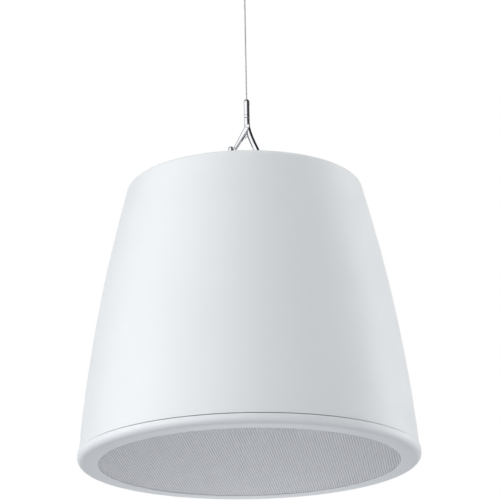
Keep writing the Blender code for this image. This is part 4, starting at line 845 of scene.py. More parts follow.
@dataclass
class Suspension:
    """Ceiling plate, coupler, the stranded rope and its swaged sleeve."""

    wardrobe: Wardrobe
    rope_low: float = -152.6 * MM
    rope_high: float = -12.6 * MM
    rope_radius: float = 0.75 * MM
    exit_height: float = -142.9 * MM
    strands: int = 6
    strand_sides: int = 8
    lay: float = 9 * MM
    rings_per_lay: int = 18
    sleeve_low: float = 348.1 * MM
    sleeve_length: float = 20.3 * MM
    sleeve_radius: float = 3.0 * MM
    sleeve_waist: float = 0.2 * MM
    sleeve_bore_depth: float = 10 * MM
    stud_depth: float = 6.3 * MM
    coupler_low: float = -26.3 * MM
    coupler_high: float = -4.3 * MM
    coupler_radius: float = 6.5 * MM
    coupler_edge: float = 0.7 * MM
    nose_height: float = 6.5 * MM
    nose_radius: float = 3 * MM
    grip_from: float = 9 * MM
    grip_below_top: float = 3 * MM
    teeth: int = 44
    tooth: float = 0.28 * MM
    plate_radius: float = 22 * MM
    plate_thickness: float = 4 * MM
    plate_edge: float = 1.2 * MM
    screw_hole: float = 2.3 * MM
    screw_circle: float = 14 * MM

    def build(self) -> None:
        """Builds the suspension from the ceiling down."""
        plate = self.make_plate()
        coupler = self.make_coupler()
        self.make_rope()
        self.make_sleeve()

    def make_plate(self) -> Piece:
        """Turns the ceiling disc and sinks its two screw holes.

        Returns:
            The plate.
        """
        low, radius = -self.plate_thickness, self.plate_radius
        # Two rings within the flat face keep its shading even
        corners = [
            (0, low, 0),
            (2.8 * MM, low, 0),
            (radius * 0.5, low, 0),
            (radius, low, self.plate_edge),
            (radius, 0, 0.3 * MM),
            (0, 0, 0),
        ]
        zinc = self.wardrobe["zinc_plated_steel"]
        plate = lathe("turned_ceiling_plate", contour(corners), 96, Vector(), zinc)
        hole, past = self.screw_hole, 1 * MM
        sink = [(0, low - past), (hole * 2 + past, low - past), (hole, low + hole), (hole, past), (0, past)]
        places = [Vector((side * self.screw_circle, 0, 0)) for side in (-1, 1)]
        carve(plate, [lathe("sink", sink, 32, at, zinc) for at in places])
        return dress(plate, Body.SPEAKER, Slot.ZINC, "ceiling_plate")

    def make_coupler(self) -> Piece:
        """Turns the coupler with a knurled grip and a tapered nose round the rope.

        Returns:
            The coupler.
        """
        low, high, radius = self.coupler_low, self.coupler_high, self.coupler_radius
        bore = self.rope_radius + 0.15 * MM
        grip_low, grip_high = low + self.grip_from, high - self.grip_below_top
        rows = [grip_low + (grip_high - grip_low) * step / 6 for step in range(7)]
        bore_end = low + 6 * MM
        nose = [(bore, low, 0.2 * MM), (self.nose_radius, low, self.coupler_edge)]
        profile = [
            (bore, bore_end),
            *contour([*nose, (radius, low + self.nose_height, 2 * MM)]),
            *[(radius, row) for row in rows],
            (radius, high - 1.2 * MM),
            (radius - 0.3 * MM, high - 0.4 * MM),
            (radius - 0.8 * MM, high),
            (0, high),
            (0, bore_end),
        ]

        def knurl(angle: float, reach: float, height: float) -> float:
            """Cuts the grip's ridges into the widest rows."""
            inside = reach >= radius - 1e-6 and grip_low < height < grip_high
            return reach - self.tooth * (0.5 + 0.5 * math.cos(self.teeth * angle)) if inside else reach

        zinc = self.wardrobe["zinc_plated_steel"]
        coupler = lathe("knurled_coupler", profile, self.teeth * 6, Vector(), zinc, knurl)
        return dress(coupler, Body.SPEAKER, Slot.ZINC, "rope_coupler")

    def make_rope(self) -> None:
        strand = self.rope_radius / 3
        helix = self.rope_radius - strand
        length = self.rope_high - self.rope_low
        count = round(length / self.lay * self.rings_per_lay)
        slope = helix * FULL_TURN / self.lay
        bm = bmesh.new()
        for number in range(self.strands):
            rings = []
            for step in range(count + 1):
                height = length * step / count
                angle = FULL_TURN * (number / self.strands + height / self.lay)
                out = Vector((math.cos(angle), math.sin(angle), 0))
                along = Vector((-out.y * slope, out.x * slope, 1)).normalized()
                middle = helix * out + Vector((0, 0, self.rope_low + height))
                rings.append(ring_of(bm, middle, strand, out, along.cross(out), self.strand_sides))
            skin(bm, rings)
        rope = to_piece("stranded_rope", bm, self.wardrobe["drawn_stainless_wire"], sharp=60)
        dress(rope, Body.SPEAKER, Slot.STAINLESS, "suspension_rope")
        steps = 24
        path = [(0, 0, self.rope_low + length * step / steps) for step in range(steps + 1)]
        2 * self.rope_radius

    def make_sleeve(self) -> None:
        """Turns the swaged sleeve: a waist where the dies pressed it and a domed top round the rope."""
        low, high, radius = self.sleeve_low, self.sleeve_low + self.sleeve_length, self.sleeve_radius
        waist = radius - self.sleeve_waist
        bore, bore_end = self.rope_radius + 0.2 * MM, high - self.sleeve_bore_depth
        stud_end = low + self.stud_depth
        corners = [
            (0, stud_end, 0),
            (STUD_RADIUS + GAP, stud_end, 0.2 * MM),
            (STUD_RADIUS + GAP, low, 0),
            (radius, low, 0.4 * MM),
            (waist, low + 3.5 * MM, 3 * MM),
            (waist, low + self.sleeve_length * 0.62, 3 * MM),
            (radius, low + self.sleeve_length * 0.72, 3 * MM),
            (radius, high - 2.6 * MM, 1.4 * MM),
            (radius * 0.78, high - 0.8 * MM, 1.2 * MM),
            (bore + 0.3 * MM, high, 0.3 * MM),
            (bore, high, 0),
            (bore, bore_end, 0.2 * MM),
            (0, bore_end, 0),
        ]
        at = AXIS + Vector((ROPE_OFFSET, 0, 0))
        sleeve = lathe("swaged_sleeve", contour(corners), 64, at, self.wardrobe["polished_stainless"])
        dress(sleeve, Body.SPEAKER, Slot.STAINLESS, "rope_terminal")


@dataclass
class SnapHook:
    """Hook bent from polished rod, with a folded gate on a riveted pin.

    bends are points of the rod's middle line, right and up from the lowest one, in millimetres.
    """

    wardrobe: Wardrobe
    bow_height: float = 299.05 * MM
    rod: float = 2.85 * MM
    nose_height: float = 18.5 * MM
    pivot: tuple[float, float] = (4.1 * MM, 38.95 * MM)
    gate_angle: float = math.radians(29.5)
    gate_length: float = 26.4 * MM
    gate_sheet: float = 1.0 * MM
    gate_top: float = 4.8 * MM
    gate_tip: float = 2.6 * MM
    gate_edge: float = 0.8 * MM
    gate_corner: float = 0.7 * MM
    ear_length: float = 7 * MM
    channel_end: float = 15.5 * MM
    web_at: float = -0.9 * MM
    pin: float = 1.2 * MM
    pin_head: float = 2.0 * MM
    pin_dome: float = 0.6 * MM
    spring_radius: float = 1.4 * MM
    spring_wire: float = 0.3 * MM
    spring_drop: float = 10 * MM
    spring_ends: tuple[float, float] = (-0.3 * MM, 4.2 * MM)
    spring_turns: int = 3
    bends: tuple[tuple[float, float], ...] = (
        (3.6, 48.75),
        (3.6, 43.75),
        (4.1, 38.95),
        (5.8, 31.9),
        (9.5, 21.9),
        (12.9, 14.0),
        (14.6, 8.0),
        (12.2, 2.4),
        (6.57, 0.2),
        (0, 0),
        (-6.4, 0.8),
        (-11.4, 5.0),
        (-13.2, 11.2),
        (-13.0, 16.5),
    )

    def build(self) -> None:
        """Builds the hook, its gate, its pin and its spring."""
        self.make_rod()
        self.make_gate()
        self.make_pin()
        self.make_spring()

    def gate_frame(self) -> Matrix:
        """Gives the gate's frame, in which the pin's axis is z and the gate points along -y.

        Returns:
            The frame's matrix.
        """
        at = AXIS + Vector((self.pivot[0], 0, self.bow_height + self.pivot[1]))
        lean = Matrix.Rotation(self.gate_angle, 4, "Y")
        return Matrix.Translation(at) @ lean @ Matrix.Rotation(math.pi / 2, 4, "X")

    def make_rod(self) -> None:
        """Bends the rod, rounds its nose and drills it for the pin."""
        steel = self.wardrobe["polished_stainless"]
        base = AXIS + Vector((0, 0, self.bow_height))
        points = [base + Vector((x * MM, 0, z * MM)) for x, z in self.bends]
        route = spline(points, 9)
        chamfer_width, chamfer_height = 0.45 * MM, 0.4 * MM
        radii = [self.rod - chamfer_width, *[self.rod] * len(route)]
        route.insert(1, route[0] - Vector((0, 0, chamfer_height)))
        nose, rise = route[-1], base.z + self.nose_height - route[-1].z
        for turn in (math.pi / 2 * step / 8 for step in range(1, 9)):
            route.append(nose + Vector((0, 0, rise * math.sin(turn))))
            radii.append(max(self.rod * math.cos(turn) ** 0.7, self.rod * 0.12))
        hook = sweep("bent_hook_rod", route, radii, 36, steel, Vector((0, 1, 0)))
        reach = self.rod + 4 * MM
        drill = prism("drill", circle_points(self.pin + GAP, 24), -reach, reach, self.gate_frame(), steel)
        carve(hook, [drill])
        low, high = -3 * MM, 6 * MM
        corners = [(0, low, 0), (STUD_RADIUS, low, 0), (STUD_RADIUS, high, 0.4 * MM), (0, high, 0)]
        carve(hook, [lathe("stud", contour(corners), 32, points[0], steel)], join=True)
        dress(hook, Body.SPEAKER, Slot.STAINLESS, "snap_hook_body")

    def make_gate(self) -> None:
        """Cuts the gate from a tapered bar: two ears, a channel behind a web, and a solid tip."""
        steel = self.wardrobe["polished_stainless"]
        frame_at = self.gate_frame()
        slot = self.rod + GAP
        reach = slot + self.gate_sheet
        top, tip = self.gate_top / 2, self.gate_tip / 2
        ear = [(-top * math.cos(a), top * math.sin(a)) for a in (math.pi * step / 20 for step in range(21))]
        corner, end = self.gate_corner, -self.gate_length
        flank = [
            (tip + 0.1 * MM, end + corner),
            (tip - corner * 0.3, end + corner * 0.3),
            (tip - corner, end),
        ]
        outline = [*ear, *flank, *[(-x, y) for x, y in reversed(flank)]]
        blank = prism("folded_gate", outline, -reach, reach, frame_at, steel)
        gate = soften(blank, self.gate_edge, segments=4)
        wide, through = 10 * MM, 9 * MM
        ears = self.gate_block((-wide, wide), (-self.ear_length, self.ear_length), slot, steel)
        channel_along = (-self.channel_end, 1 * MM - self.ear_length)
        channel = self.gate_block((self.web_at, wide * 2), channel_along, slot, steel)
        hole = prism("hole", circle_points(self.pin + GAP / 2, 24), -through, through, frame_at, steel)
        carve(gate, [ears, channel, hole])
        soften(gate, 0.2 * MM)
        dress(gate, Body.GATE, Slot.STAINLESS, "snap_hook_gate")

    def gate_block(
        self, across: tuple[float, float], along: tuple[float, float], half: float, steel: Material
    ) -> Piece:
        """Makes a cutter in the gate's frame.

        Args:
            across: its lowest and highest x.
            along: its lowest and highest y.
            half: half its width along the pin.
            steel: a material for it.

        Returns:
            The cutter.
        """
        outline = [(across[0], along[0]), (across[1], along[0]), (across[1], along[1]), (across[0], along[1])]
        return prism("cutter", outline, -half, half, self.gate_frame(), steel)

    def make_pin(self) -> None:
        """Rivets the pin through ears and rod, with a domed head on each side."""
        seat = self.rod + self.gate_sheet + 2 * GAP
        top = seat + self.pin_dome
        head = [
            (self.pin, seat, 0),
            (self.pin_head, seat, 0.1 * MM),
            (self.pin_head, top, 0.5 * MM),
            (0, top, 0),
        ]
        foot = [(radius, -height, fillet) for radius, height, fillet in reversed(head)]
        corners = [*foot, *head]
        pin = lathe("riveted_pin", contour(corners), 32, Vector(), self.wardrobe["polished_stainless"])
        pin.data.transform(self.gate_frame())
        dress(pin, Body.SPEAKER, Slot.STAINLESS, "gate_pin")

    def make_spring(self) -> None:
        """Winds the fine spring that pushes the gate shut."""
        rings_per_turn, sides = 24, 10
        count = self.spring_turns * rings_per_turn
        start, end = self.spring_ends
        along = Vector((1, 0, 0))
        bm = bmesh.new()
        rings = []
        for step in range(count + 1):
            angle = FULL_TURN * step / rings_per_turn
            out = Vector((0, math.cos(angle), math.sin(angle)))
            middle = Vector((start + (end - start) * step / count, -self.spring_drop, 0))
            rings.append(ring_of(bm, middle + self.spring_radius * out, self.spring_wire, out, along, sides))
        skin(bm, rings)
        bm.transform(self.gate_frame())
        spring = to_piece("wound_spring", bm, self.wardrobe["drawn_stainless_wire"], sharp=60)
        dress(spring, Body.SPEAKER, Slot.STAINLESS, "gate_spring")


# Housing


@dataclass
class Housing:
    """Moulded shell, the dark joint under it and the bezel ring.

    The joint is drawn wider than it is by seam_shadow, so that its dark line shows in the render.
    top_rings are rings within the flat top that keep its shading even.
    """

    wardrobe: Wardrobe
    seam_radius: float = 165 * MM
    top_radius: float = 116.5 * MM
    height: float = SHELL_HEIGHT
    bulge: float = 6.3 * MM
    top_edge: float = 6.6 * MM
    top_rings: tuple[float, ...] = (104 * MM, 80 * MM, 50 * MM, 20 * MM)
    wall: float = 3.5 * MM
    rib_low: float = 16.3 * MM
    rib_height: float = 4 * MM
    rib_depth: float = 5 * MM
    seam_edge: float = 0.15 * MM
    gasket_width: float = 3.5 * MM
    gasket_thickness: float = 1.4 * MM
    bezel_radius: float = 166.5 * MM
    bezel_depth: float = 10.1 * MM
    bezel_edge: float = 6.0 * MM
    bezel_face: float = 20 * MM
    bezel_lip: float = 1.0 * MM
    bezel_back: float = -3 * MM
    seam_gap: float = 0.8 * MM
    seam_shadow: float = 0.25 * MM
    spigot_height: float = 7.4 * MM
    spigot_wall: float = 2.7 * MM
    steps: int = 240
    rows: int = 36

    def side(self, height: float) -> float:
        """Gives the shell's outer radius at a height.

        Args:
            height: the height above the seam.

        Returns:
            The radius.
        """
        share = height / self.height
        straight = self.seam_radius + (self.top_radius - self.seam_radius) * share
        return straight + 4 * self.bulge * share * (1 - share)

    def build(self) -> None:
        """Builds shell, gasket and bezel."""
        self.make_shell()
        self.make_gasket()
        self.make_bezel()

    def make_shell(self) -> None:
        """Turns the shell with its bulging side and rounded upper edge, and cuts the holes in its top."""
        low = self.height - self.top_edge
        lean = math.atan2(self.side(low) - self.side(self.height), self.top_edge)
        touch = self.side(low + self.top_edge * math.sin(lean))
        middle = touch - self.top_edge * math.cos(lean)
        seam, edge = self.side(0), self.seam_edge
        outer = [(seam - edge, 0), (seam - edge * 0.3, edge * 0.3), (self.side(edge), edge)]
        outer += [(self.side(z), z) for z in (low * row / self.rows for row in range(1, self.rows))]
        turns = [lean + (math.pi / 2 - lean) * step / 12 for step in range(13)]
        outer += [(middle + self.top_edge * math.cos(a), low + self.top_edge * math.sin(a)) for a in turns]
        outer += [(radius, self.height) for radius in self.top_rings]
        inside = [(self.side(z) - self.wall, z) for z in (low * row / 12 for row in range(12, 1, -1))]
        rib_high = self.rib_low + self.rib_height
        rib_wall = self.side(rib_high) - self.wall
        rib = [
            (rib_wall, rib_high),
            (rib_wall - self.rib_depth, rib_high),
            (rib_wall - self.rib_depth, self.rib_low),
            (self.side(self.rib_low) - self.wall, self.rib_low),
            (seam - self.wall, 0),
        ]
        profile = [*outer, (0, self.height), (0, self.height - self.wall), *inside, *rib]
        white = self.wardrobe["moulded_white_abs"]
        shell = lathe("moulded_shell", profile, self.steps, AXIS, white)
        cut_low, cut_high = self.height - 3 * self.wall, self.height + 2 * MM
        cutters = []
        bolts = ((0, 0, EYE_BOLT_RADIUS), (SAFETY_EYE_X, 0, SAFETY_BOLT_RADIUS))
        for x, y, radius in (*bolts, (0, CUP_Y, CUP_RADIUS)):
            at = Matrix.Translation(AXIS + Vector((x, y, 0)))
            cutters.append(prism("hole", circle_points(radius + GAP, 72), cut_low, cut_high, at, white))
        carve(shell, cutters)
        dress(shell, Body.SPEAKER, Slot.WHITE_PLASTIC, "housing_shell")

    def make_gasket(self) -> None:
        """Turns the rubber ring that shows as a thin dark line under the shell."""
        inside = self.side(self.spigot_height) - self.wall
        outside, edge = inside + self.gasket_width, 0.3 * MM
        low, high = -GAP - self.gasket_thickness, -GAP
        corners = [(inside, low, edge), (outside, low, edge), (outside, high, edge), (inside, high, edge)]
        ring = lathe("rubber_seam_ring", contour(corners, 3), self.steps, AXIS, self.wardrobe["moulded_epdm"])
        dress(ring, Body.SPEAKER, Slot.RUBBER, "seam_gasket")

    def make_bezel(self) -> None:
        """Turns the bezel: a rounded outer edge, a flat face and a lip that holds the grille."""
        spigot = self.side(self.spigot_height) - self.wall - GAP
        groove, floor = spigot + self.gasket_width + 2 * GAP, -self.gasket_thickness - 2 * GAP
        opening, seat = self.bezel_radius - self.bezel_face, GRILLE_RADIUS + GAP
        bottom, seam = -self.bezel_depth, -self.seam_gap - self.seam_shadow
        lip = bottom + self.bezel_lip
        x, z = self.bezel_radius - self.bezel_edge, bottom + self.bezel_edge
        turns = [math.pi / 2 * (step / 16 - 1) for step in range(17)]
        corners = [
            (opening, bottom, 0.5 * MM),
            *[(x + self.bezel_edge * math.cos(a), z + self.bezel_edge * math.sin(a), 0) for a in turns],
            (self.bezel_radius, seam, 0.15 * MM),
            (groove, seam, 0),
            (groove, floor, 0),
            (spigot, floor, 0),
            (spigot, self.spigot_height, 0.3 * MM),
            (spigot - self.spigot_wall, self.spigot_height, 0.3 * MM),
            (spigot - self.spigot_wall, self.bezel_back, 0),
            (seat, self.bezel_back, 0),
            (seat, lip, 0),
            (opening, lip, 0.2 * MM),
        ]
        white = self.wardrobe["moulded_white_abs"]
        bezel = lathe("moulded_bezel", contour(corners, 4), self.steps, AXIS, white)
        dress(bezel, Body.SPEAKER, Slot.WHITE_PLASTIC, "front_bezel")


@dataclass
class Grille:
    """Perforated steel disc with six-sided holes in staggered rows, folded up at its rim.

    The sheet is made as two halves, so that each mesh stays light. The real holes are about 2.4 mm
    apart; they are drawn a little coarser, so that they show in the render.
    """

    wardrobe: Wardrobe
    face: float = -9.05 * MM
    sheet: float = 1.2 * MM
    radius: float = GRILLE_RADIUS
    fold: float = 4.4 * MM
    pitch: float = 2.8 * MM
    hole: float = 1.0 * MM
    reach: float = 148.9 * MM
    turn: float = math.radians(-5.6)

    def build(self) -> None:
        """Builds the two halves of the sheet with their holes, and the folded rim."""
        centres = self.centres()
        faces = self.sheet_faces(centres)
        for name, side, nodes in (("left", -1, ["grille"]), ("right", 1, [])):
            half = self.make_half(f"perforated_sheet_{name}", centres, faces, side)
            dress(half, Body.SPEAKER, Slot.PAINTED_STEEL, *nodes)
        inside, top = self.radius - self.sheet, self.face + self.fold
        corners = [
            (inside, top, 0.2 * MM),
            (inside, self.face + 0.05 * MM, 0),
            (inside, self.face, 0),
            (self.radius, self.face, 0.7 * MM),
            (self.radius, top, 0.2 * MM),
        ]
        rim = lathe("folded_grille_rim", contour(corners, 4), 240, AXIS, self.wardrobe["powder_coated_steel"])
        dress(rim, Body.SPEAKER, Slot.PAINTED_STEEL)

    def centres(self) -> Grid:
        """Lays the holes out on a staggered grid.

        Returns:
            The middle of each hole by its row and column.
        """
        made = {}
        row_step = self.pitch * math.sqrt(3) / 2
        count = int(self.reach / row_step) + 1
        for row in range(-count, count + 1):
            for column in range(-2 * count, 2 * count + 1):
                x, y = -row * row_step, (column + row / 2) * self.pitch
                if x * x + y * y < self.reach**2:
                    made[row, column] = (x, y)
        return made

    def sheet_faces(self, centres: Grid) -> list[tuple[int, ...]]:
        """Joins the holes' edges with faces.

        Hole n has the corners 12 n to 12 n + 5 on the front, and its back edge has the next six.

        Args:
            centres: the holes' middles.

        Returns:
            The corners of each face of the sheet and of each hole's wall.
        """
        index = {key: 12 * number for number, key in enumerate(centres)}
        steps = ((0, 1), (1, 0), (1, -1), (0, -1), (-1, 0), (-1, 1))
        faces = []
        for (row, column), start in index.items():
            near = [index.get((row + r, column + c)) for r, c in steps]
            for m, other in enumerate(near[:3]):
                if other is not None:
                    faces.append((start + (m - 1) % 6, other + (m + 3) % 6, other + (m + 2) % 6, start + m))
            for m, (other, third) in enumerate(zip(near[:2], near[1:3])):
                if other is not None and third is not None:
                    faces.append((start + m, other + (m + 2) % 6, third + (m + 4) % 6))
            for corner in range(6):
                after = (corner + 1) % 6
                faces.append((start + corner, start + 6 + corner, start + 6 + after, start + after))
        return faces

    def make_half(self, name: str, centres: Grid, faces: list[tuple[int, ...]], side: int) -> Piece:
        """Makes the mesh of one half of the sheet, its hole walls in a darker grey of painted shade.

        Args:
            name: the piece's name.
            centres: the holes' middles.
            faces: the corners of every face.
            side: -1 for the left half, 1 for the right.

        Returns:
            The half.
        """
        corners = circle_points(self.hole, 6, math.pi * 2 / 3)
        middles = list(centres.values())
        chosen = [face for face in faces if (middles[face[0] // 12][0] >= 0) == (side > 0)]
        used = {corner: place for place, corner in enumerate(sorted({c for face in chosen for c in face}))}
        around = Matrix.Translation(AXIS) @ Matrix.Rotation(self.turn, 4, "Z")
        points = []
        for corner in used:
            x, y = middles[corner // 12]
            a, b = corners[corner % 6]
            height = self.face + (self.sheet if corner % 12 > 5 else 0)
            points.append(around @ Vector((x + a, y + b, height)))
        mesh = bpy.data.meshes.new(name)
        mesh.from_pydata(points, [], [[used[corner] for corner in face] for face in chosen])
        mesh.materials.append(self.wardrobe["powder_coated_steel"])
        # the hole walls get a darker grey: painted shade inside the holes
        mesh.materials.append(self.wardrobe["hole_wall_painted_shade"])
        for polygon, face in zip(mesh.polygons, chosen):
            polygon.material_index = int(any(corner % 12 > 5 for corner in face))
        made = bpy.data.objects.new(name, mesh)
        bpy.context.scene.collection.objects.link(made)
        return made


# Top fittings


@dataclass
class Eye:
    """A forged eye: ring, collar and shank in one; seat and end are the collar's and the shank's low ends."""

    name: str
    node: str
    x: float
    seat: float
    bolt: float
    inner: float
    rod: float
    collar: float
    collar_height: float
    end: float
    lift: float = 0.6 * MM

    def build(self, wardrobe: Wardrobe) -> None:
        """Forges the eye and joins its ring to its collar.

        Args:
            wardrobe: gives the finish.
        """
        zinc = wardrobe["zinc_plated_steel"]
        at = AXIS + Vector((self.x, 0, 0))
        top = self.seat + self.collar_height
        corners = [
            (0, self.end, 0),
            (self.bolt - 0.6 * MM, self.end, 0),
            (self.bolt, self.end + 0.6 * MM, 0),
            (self.bolt, self.seat, 0),
            (self.collar, self.seat, 0.5 * MM),
            (self.collar, self.seat + self.collar_height / 2, 1.2 * MM),
            (self.collar * 0.62, top, 1.5 * MM),
            (0, top, 0),
        ]
        eye = lathe(self.name, contour(corners), 64, at, zinc)
        middle = at + Vector((0, 0, top + self.inner + self.rod + self.lift))
        reach = self.inner + self.rod
        turns = [FULL_TURN * step / 72 for step in range(72)]
        route = [middle + reach * Vector((0, math.cos(a), math.sin(a))) for a in turns]
        ring = sweep("ring", route, [self.rod] * 72, 28, zinc, Vector((1, 0, 0)), closed=True)
        low, high = top - 1 * MM, top + self.rod * 0.9
        neck = [(0, low), (self.collar * 0.6, low), (self.rod, high), (0, high)]
        carve(eye, [lathe("neck", neck, 48, at, zinc), ring], join=True)
        dress(eye, Body.SPEAKER, Slot.ZINC, self.node)


@dataclass
class TopFittings:
    """The eye bolt with its washer and the second eye for a safety rope."""

    wardrobe: Wardrobe
    washer_radius: float = 12 * MM
    washer_thickness: float = 2 * MM

    def build(self) -> None:
        """Builds both eyes and the washer."""
        low, high, bore = TOP_SEAT, TOP_SEAT + self.washer_thickness, EYE_BOLT_RADIUS + GAP
        main_eye = Eye(
            name="forged_eye_bolt",
            node="eye_bolt",
            x=0,
            seat=high + GAP,
            bolt=EYE_BOLT_RADIUS,
            inner=10 * MM,
            rod=3.5 * MM,
            collar=9 * MM,
            collar_height=3.5 * MM,
            end=256.4 * MM,
        )
        safety_eye = Eye(
            name="forged_safety_eye",
            node="safety_eye",
            x=SAFETY_EYE_X,
            seat=TOP_SEAT,
            bolt=SAFETY_BOLT_RADIUS,
            inner=7 * MM,
            rod=3 * MM,
            collar=7 * MM,
            collar_height=3 * MM,
            end=257.9 * MM,
        )
        main_eye.build(self.wardrobe)
        safety_eye.build(self.wardrobe)
        corners = [
            (bore, low, 0.2 * MM),
            (self.washer_radius, low, 0.3 * MM),
            (self.washer_radius, high, 0.5 * MM),
            (bore, high, 0.2 * MM),
        ]
        washer = lathe("stamped_washer", contour(corners, 3), 64, AXIS, self.wardrobe["zinc_plated_steel"])
        dress(washer, Body.SPEAKER, Slot.ZINC, "eye_bolt_washer")


@dataclass
class TerminalCup:
    """Recess in the top with a screw connector and the power tap's knob."""

    wardrobe: Wardrobe
    flange: float = 45 * MM
    wall: float = 2.2 * MM
    floor: float = 252 * MM
    top: float = 274.8 * MM
    knob_y: float = 76 * MM
    knob_radius: float = 11 * MM
    knob_low: float = 257 * MM
    knob_high: float = 269 * MM
    connector_y: float = 48 * MM
    connector: tuple[float, float, float] = (30 * MM, 12 * MM, 13 * MM)
    ways: int = 4
    way_pitch: float = 6.6 * MM
    screw_hole: float = 1.8 * MM
    wire_entry: float = 3.6 * MM
    shaft_bore: float = 3.3 * MM
    shaft_depth: float = 3 * MM
    bushing_hole: float = 5.3 * MM
    lead_slot: tuple[float, float] = (22 * MM, 4.8 * MM)
    tap_angles: tuple[int, ...] = (105, 135, 165, 195, 225, 255)
    tap_circle: float = 14.5 * MM
    tap_mark: tuple[float, float, float] = (3 * MM, 0.9 * MM, 0.8 * MM)
    flutes: int = 20
    flute: float = 0.55 * MM

    def build(self) -> None:
        """Builds cup, scale, connector and knob."""
        self.make_cup()
        self.make_connector()
        self.make_knob()

    def make_cup(self) -> None:
        """Turns the cup, cuts its holes and raises the marks round the knob."""
        black = self.wardrobe["moulded_black_abs"]
        inner, low, rise = CUP_RADIUS - self.wall, self.floor - self.wall, (self.top - TOP_SEAT) / 2
        corners = [
            (0, low, 0),
            (CUP_RADIUS, low, 1.5 * MM),
            (CUP_RADIUS, TOP_SEAT, 0),
            (self.flange, TOP_SEAT, 0.3 * MM),
            (self.flange, TOP_SEAT + rise, 0.4 * MM),
            (self.flange - rise, self.top, 0.6 * MM),
            (inner, self.top, 0.6 * MM),
            (inner, self.floor, 1.5 * MM),
            (inner * 0.5, self.floor, 0),
            (0, self.floor, 0),
        ]
        cup = lathe("moulded_terminal_cup", contour(corners), 96, AXIS + Vector((0, CUP_Y, 0)), black)
        past = 2 * MM
        knob_at = AXIS + Vector((0, self.knob_y, 0))
        hole = circle_points(self.bushing_hole, 32)
        bore = prism("bore", hole, low - past, self.floor + past, Matrix.Translation(knob_at), black)
        slot_at = AXIS + Vector((0, self.connector_y, self.floor - self.wall / 2))
        slot = block("slot", (*self.lead_slot, self.wall + 2 * past), slot_at, black)
        marks = []
        for angle in map(math.radians, self.tap_angles):
            out = Vector((self.tap_circle * math.cos(angle), self.tap_circle * math.sin(angle), self.floor))
            marks.append(block("mark", self.tap_mark, knob_at + out, black, 0.15 * MM, angle))
        carve(cup, [bore, slot])
        carve(cup, marks, join=True)
        dress(cup, Body.SPEAKER, Slot.BLACK_PLASTIC, "terminal_cup")

    def make_connector(self) -> None:
        """Moulds the four-way connector with a slotted clamp screw in each way."""
        green = self.wardrobe["moulded_green_polyamide"]
        zinc = self.wardrobe["zinc_plated_steel"]
        _, depth, height = self.connector
        centre = AXIS + Vector((0, self.connector_y, self.floor + GAP + height / 2))
        body = block("moulded_connector", self.connector, centre, green, 0.6 * MM)
        cutters, screws = [], []
        radius, length = self.screw_hole - 0.2 * MM, 3 * MM
        screw = contour([(0, 0, 0), (radius, 0, 0), (radius, length, 0.4 * MM), (0, length, 0)])
        slit = (6 * MM, 0.7 * MM, 1.6 * MM)
        groove = (0.5 * MM, depth * 2, 0.8 * MM)
        entry = (self.wire_entry, depth, self.wire_entry)
        hole = circle_points(self.screw_hole, 32)
        for way in range(self.ways):
            x = (way - (self.ways - 1) / 2) * self.way_pitch
            at = centre + Vector((x, depth / 5, 0))
            cutters.append(prism("screw_hole", hole, -height * 0.25, height, Matrix.Translation(at), green))
            entry_at = centre + Vector((x, -depth * 0.6, -height / 6))
            cutters.append(block("wire_entry", entry, entry_at, green, 0.3 * MM))
            if way:
                groove_at = centre + Vector((x - self.way_pitch / 2, 0, height / 2))
                cutters.append(block("groove", groove, groove_at, green))
            foot = at + Vector((0, 0, -height * 0.2))
            clamp = lathe(f"clamp_screw_{way + 1}", screw, 32, foot, zinc)
            carve(clamp, [block("slit", slit, foot + Vector((0, 0, length)), zinc, turn=0.6 + way)])
            screws.append(clamp)
        carve(body, cutters)
        dress(body, Body.SPEAKER, Slot.GREEN_PLASTIC, "input_connector")
        for clamp in screws:
            dress(clamp, Body.SPEAKER, Slot.ZINC)

    def make_knob(self) -> None:
        """Turns the fluted knob, and gives it a raised pointer with a white line."""
        black = self.wardrobe["moulded_black_abs"]
        radius, low, high = self.knob_radius, self.knob_low, self.knob_high
        bore, shaft_top = self.shaft_bore, high - self.shaft_depth + GAP
        skirt_top, grip_low, grip_rise = low + 3 * MM, low + 4.2 * MM, 6.2 * MM
        corners = [
            (bore, low, 0),
            (radius, low, 0.3 * MM),
            (radius, skirt_top, 0.4 * MM),
            (radius * 0.9, low + 3.6 * MM, 0.3 * MM),
            *[(radius * (0.9 - 0.04 * step / 5), grip_low + grip_rise * step / 5, 0) for step in range(6)],
            (radius * 0.8, high, 0.9 * MM),
            (0, high, 0),
            (0, shaft_top, 0),
            (bore, shaft_top, 0),
        ]

        def fluted(angle: float, reach: float, height: float) -> float:
            """Cuts the finger grooves above the skirt."""
            inside = low + 4 * MM < height < high - 1.2 * MM and reach > radius * 0.8
            return reach - self.flute * max(0.0, math.cos(self.flutes * angle)) if inside else reach

        at = AXIS + Vector((0, self.knob_y, 0))
        knob = lathe("fluted_tap_knob", contour(corners, 4), self.flutes * 8, at, black, fluted)
        ridge_at = at + Vector((0, radius * 0.12, high + 0.5 * MM))
        ridge = block("ridge", (3 * MM, radius * 1.5, 3 * MM), ridge_at, black, 0.5 * MM)
        carve(knob, [ridge], join=True)
        dress(knob, Body.KNOB, Slot.BLACK_PLASTIC, "tap_knob")
        line_at = at + Vector((0, radius * 0.42, high + 1.98 * MM))
        white = self.wardrobe["powder_coated_steel"]
        line = block("pointer_line", (0.9 * MM, radius * 0.8, 0.1 * MM), line_at, white, 0.03 * MM)
        dress(line, Body.KNOB, Slot.PAINTED_STEEL)


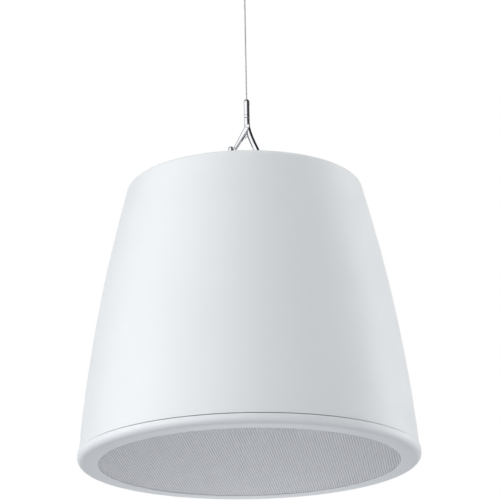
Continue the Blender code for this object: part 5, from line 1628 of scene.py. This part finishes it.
@dataclass
class Internals:
    """The solids inside the housing, which keep their shapes and get their finishes."""

    wardrobe: Wardrobe
    finishes: tuple[tuple[str, tuple[str, ...]], ...] = (
        ("moulded_black_abs", ("baffle", "port_tube", "tweeter_housing", "tweeter_horn", "tap_switch_body")),
        ("needled_wadding", ("damping_liner",)),
        ("woven_acoustic_cloth", ("grille_cloth", "woofer_spider", "tweeter_dome")),
        (
            "zinc_plated_steel",
            (
                "woofer_basket",
                "woofer_top_plate",
                "woofer_yoke",
                "tweeter_post",
                "tweeter_nut",
                "eye_bolt_nut",
                "safety_eye_nut",
                "suspension_bar",
                "transformer_bracket",
                "tap_switch_shaft",
            ),
        ),
        ("moulded_epdm", ("woofer_gasket", "woofer_surround", "woofer_lead", "input_lead")),
        ("felted_cone_paper", ("woofer_cone",)),
        ("enamelled_copper_wire", ("voice_coil", "crossover_inductor", "transformer_winding")),
        ("ground_ferrite", ("woofer_magnet", "tweeter_magnet")),
        ("stacked_lamination_steel", ("transformer_core",)),
        ("solder_masked_board", ("crossover_board",)),
        ("wound_polyester_film", ("capacitor_1", "capacitor_2")),
        ("cast_cement", ("crossover_resistor",)),
    )

    def build(self) -> None:
        """Assigns each finish to its nodes, the screws among them."""
        for name, nodes in self.finishes:
            for node in nodes:
                self.finish(node, name)
        for number in range(1, 5):
            self.finish(f"baffle_screw_{number}", "zinc_plated_steel")
            self.finish(f"woofer_screw_{number}", "zinc_plated_steel")

    def finish(self, node: str, name: str) -> None:
        """Puts a finish on a node's material slots.

        Args:
            node: the CAD node.
            name: the finish.
        """
        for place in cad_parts[node].material_slots:
            place.material = self.wardrobe[name]
        log.info("%s: %s", node, name)


def main() -> None:
    """Builds the studio and every sub-assembly."""
    logging.basicConfig(level=logging.INFO, format="%(message)s")
    wardrobe = Wardrobe()
    Studio().build()
    Suspension(wardrobe).build()
    SnapHook(wardrobe).build()
    Housing(wardrobe).build()
    Grille(wardrobe).build()
    TopFittings(wardrobe).build()
    TerminalCup(wardrobe).build()
    Internals(wardrobe).build()


if __name__ == "__main__":
    main()
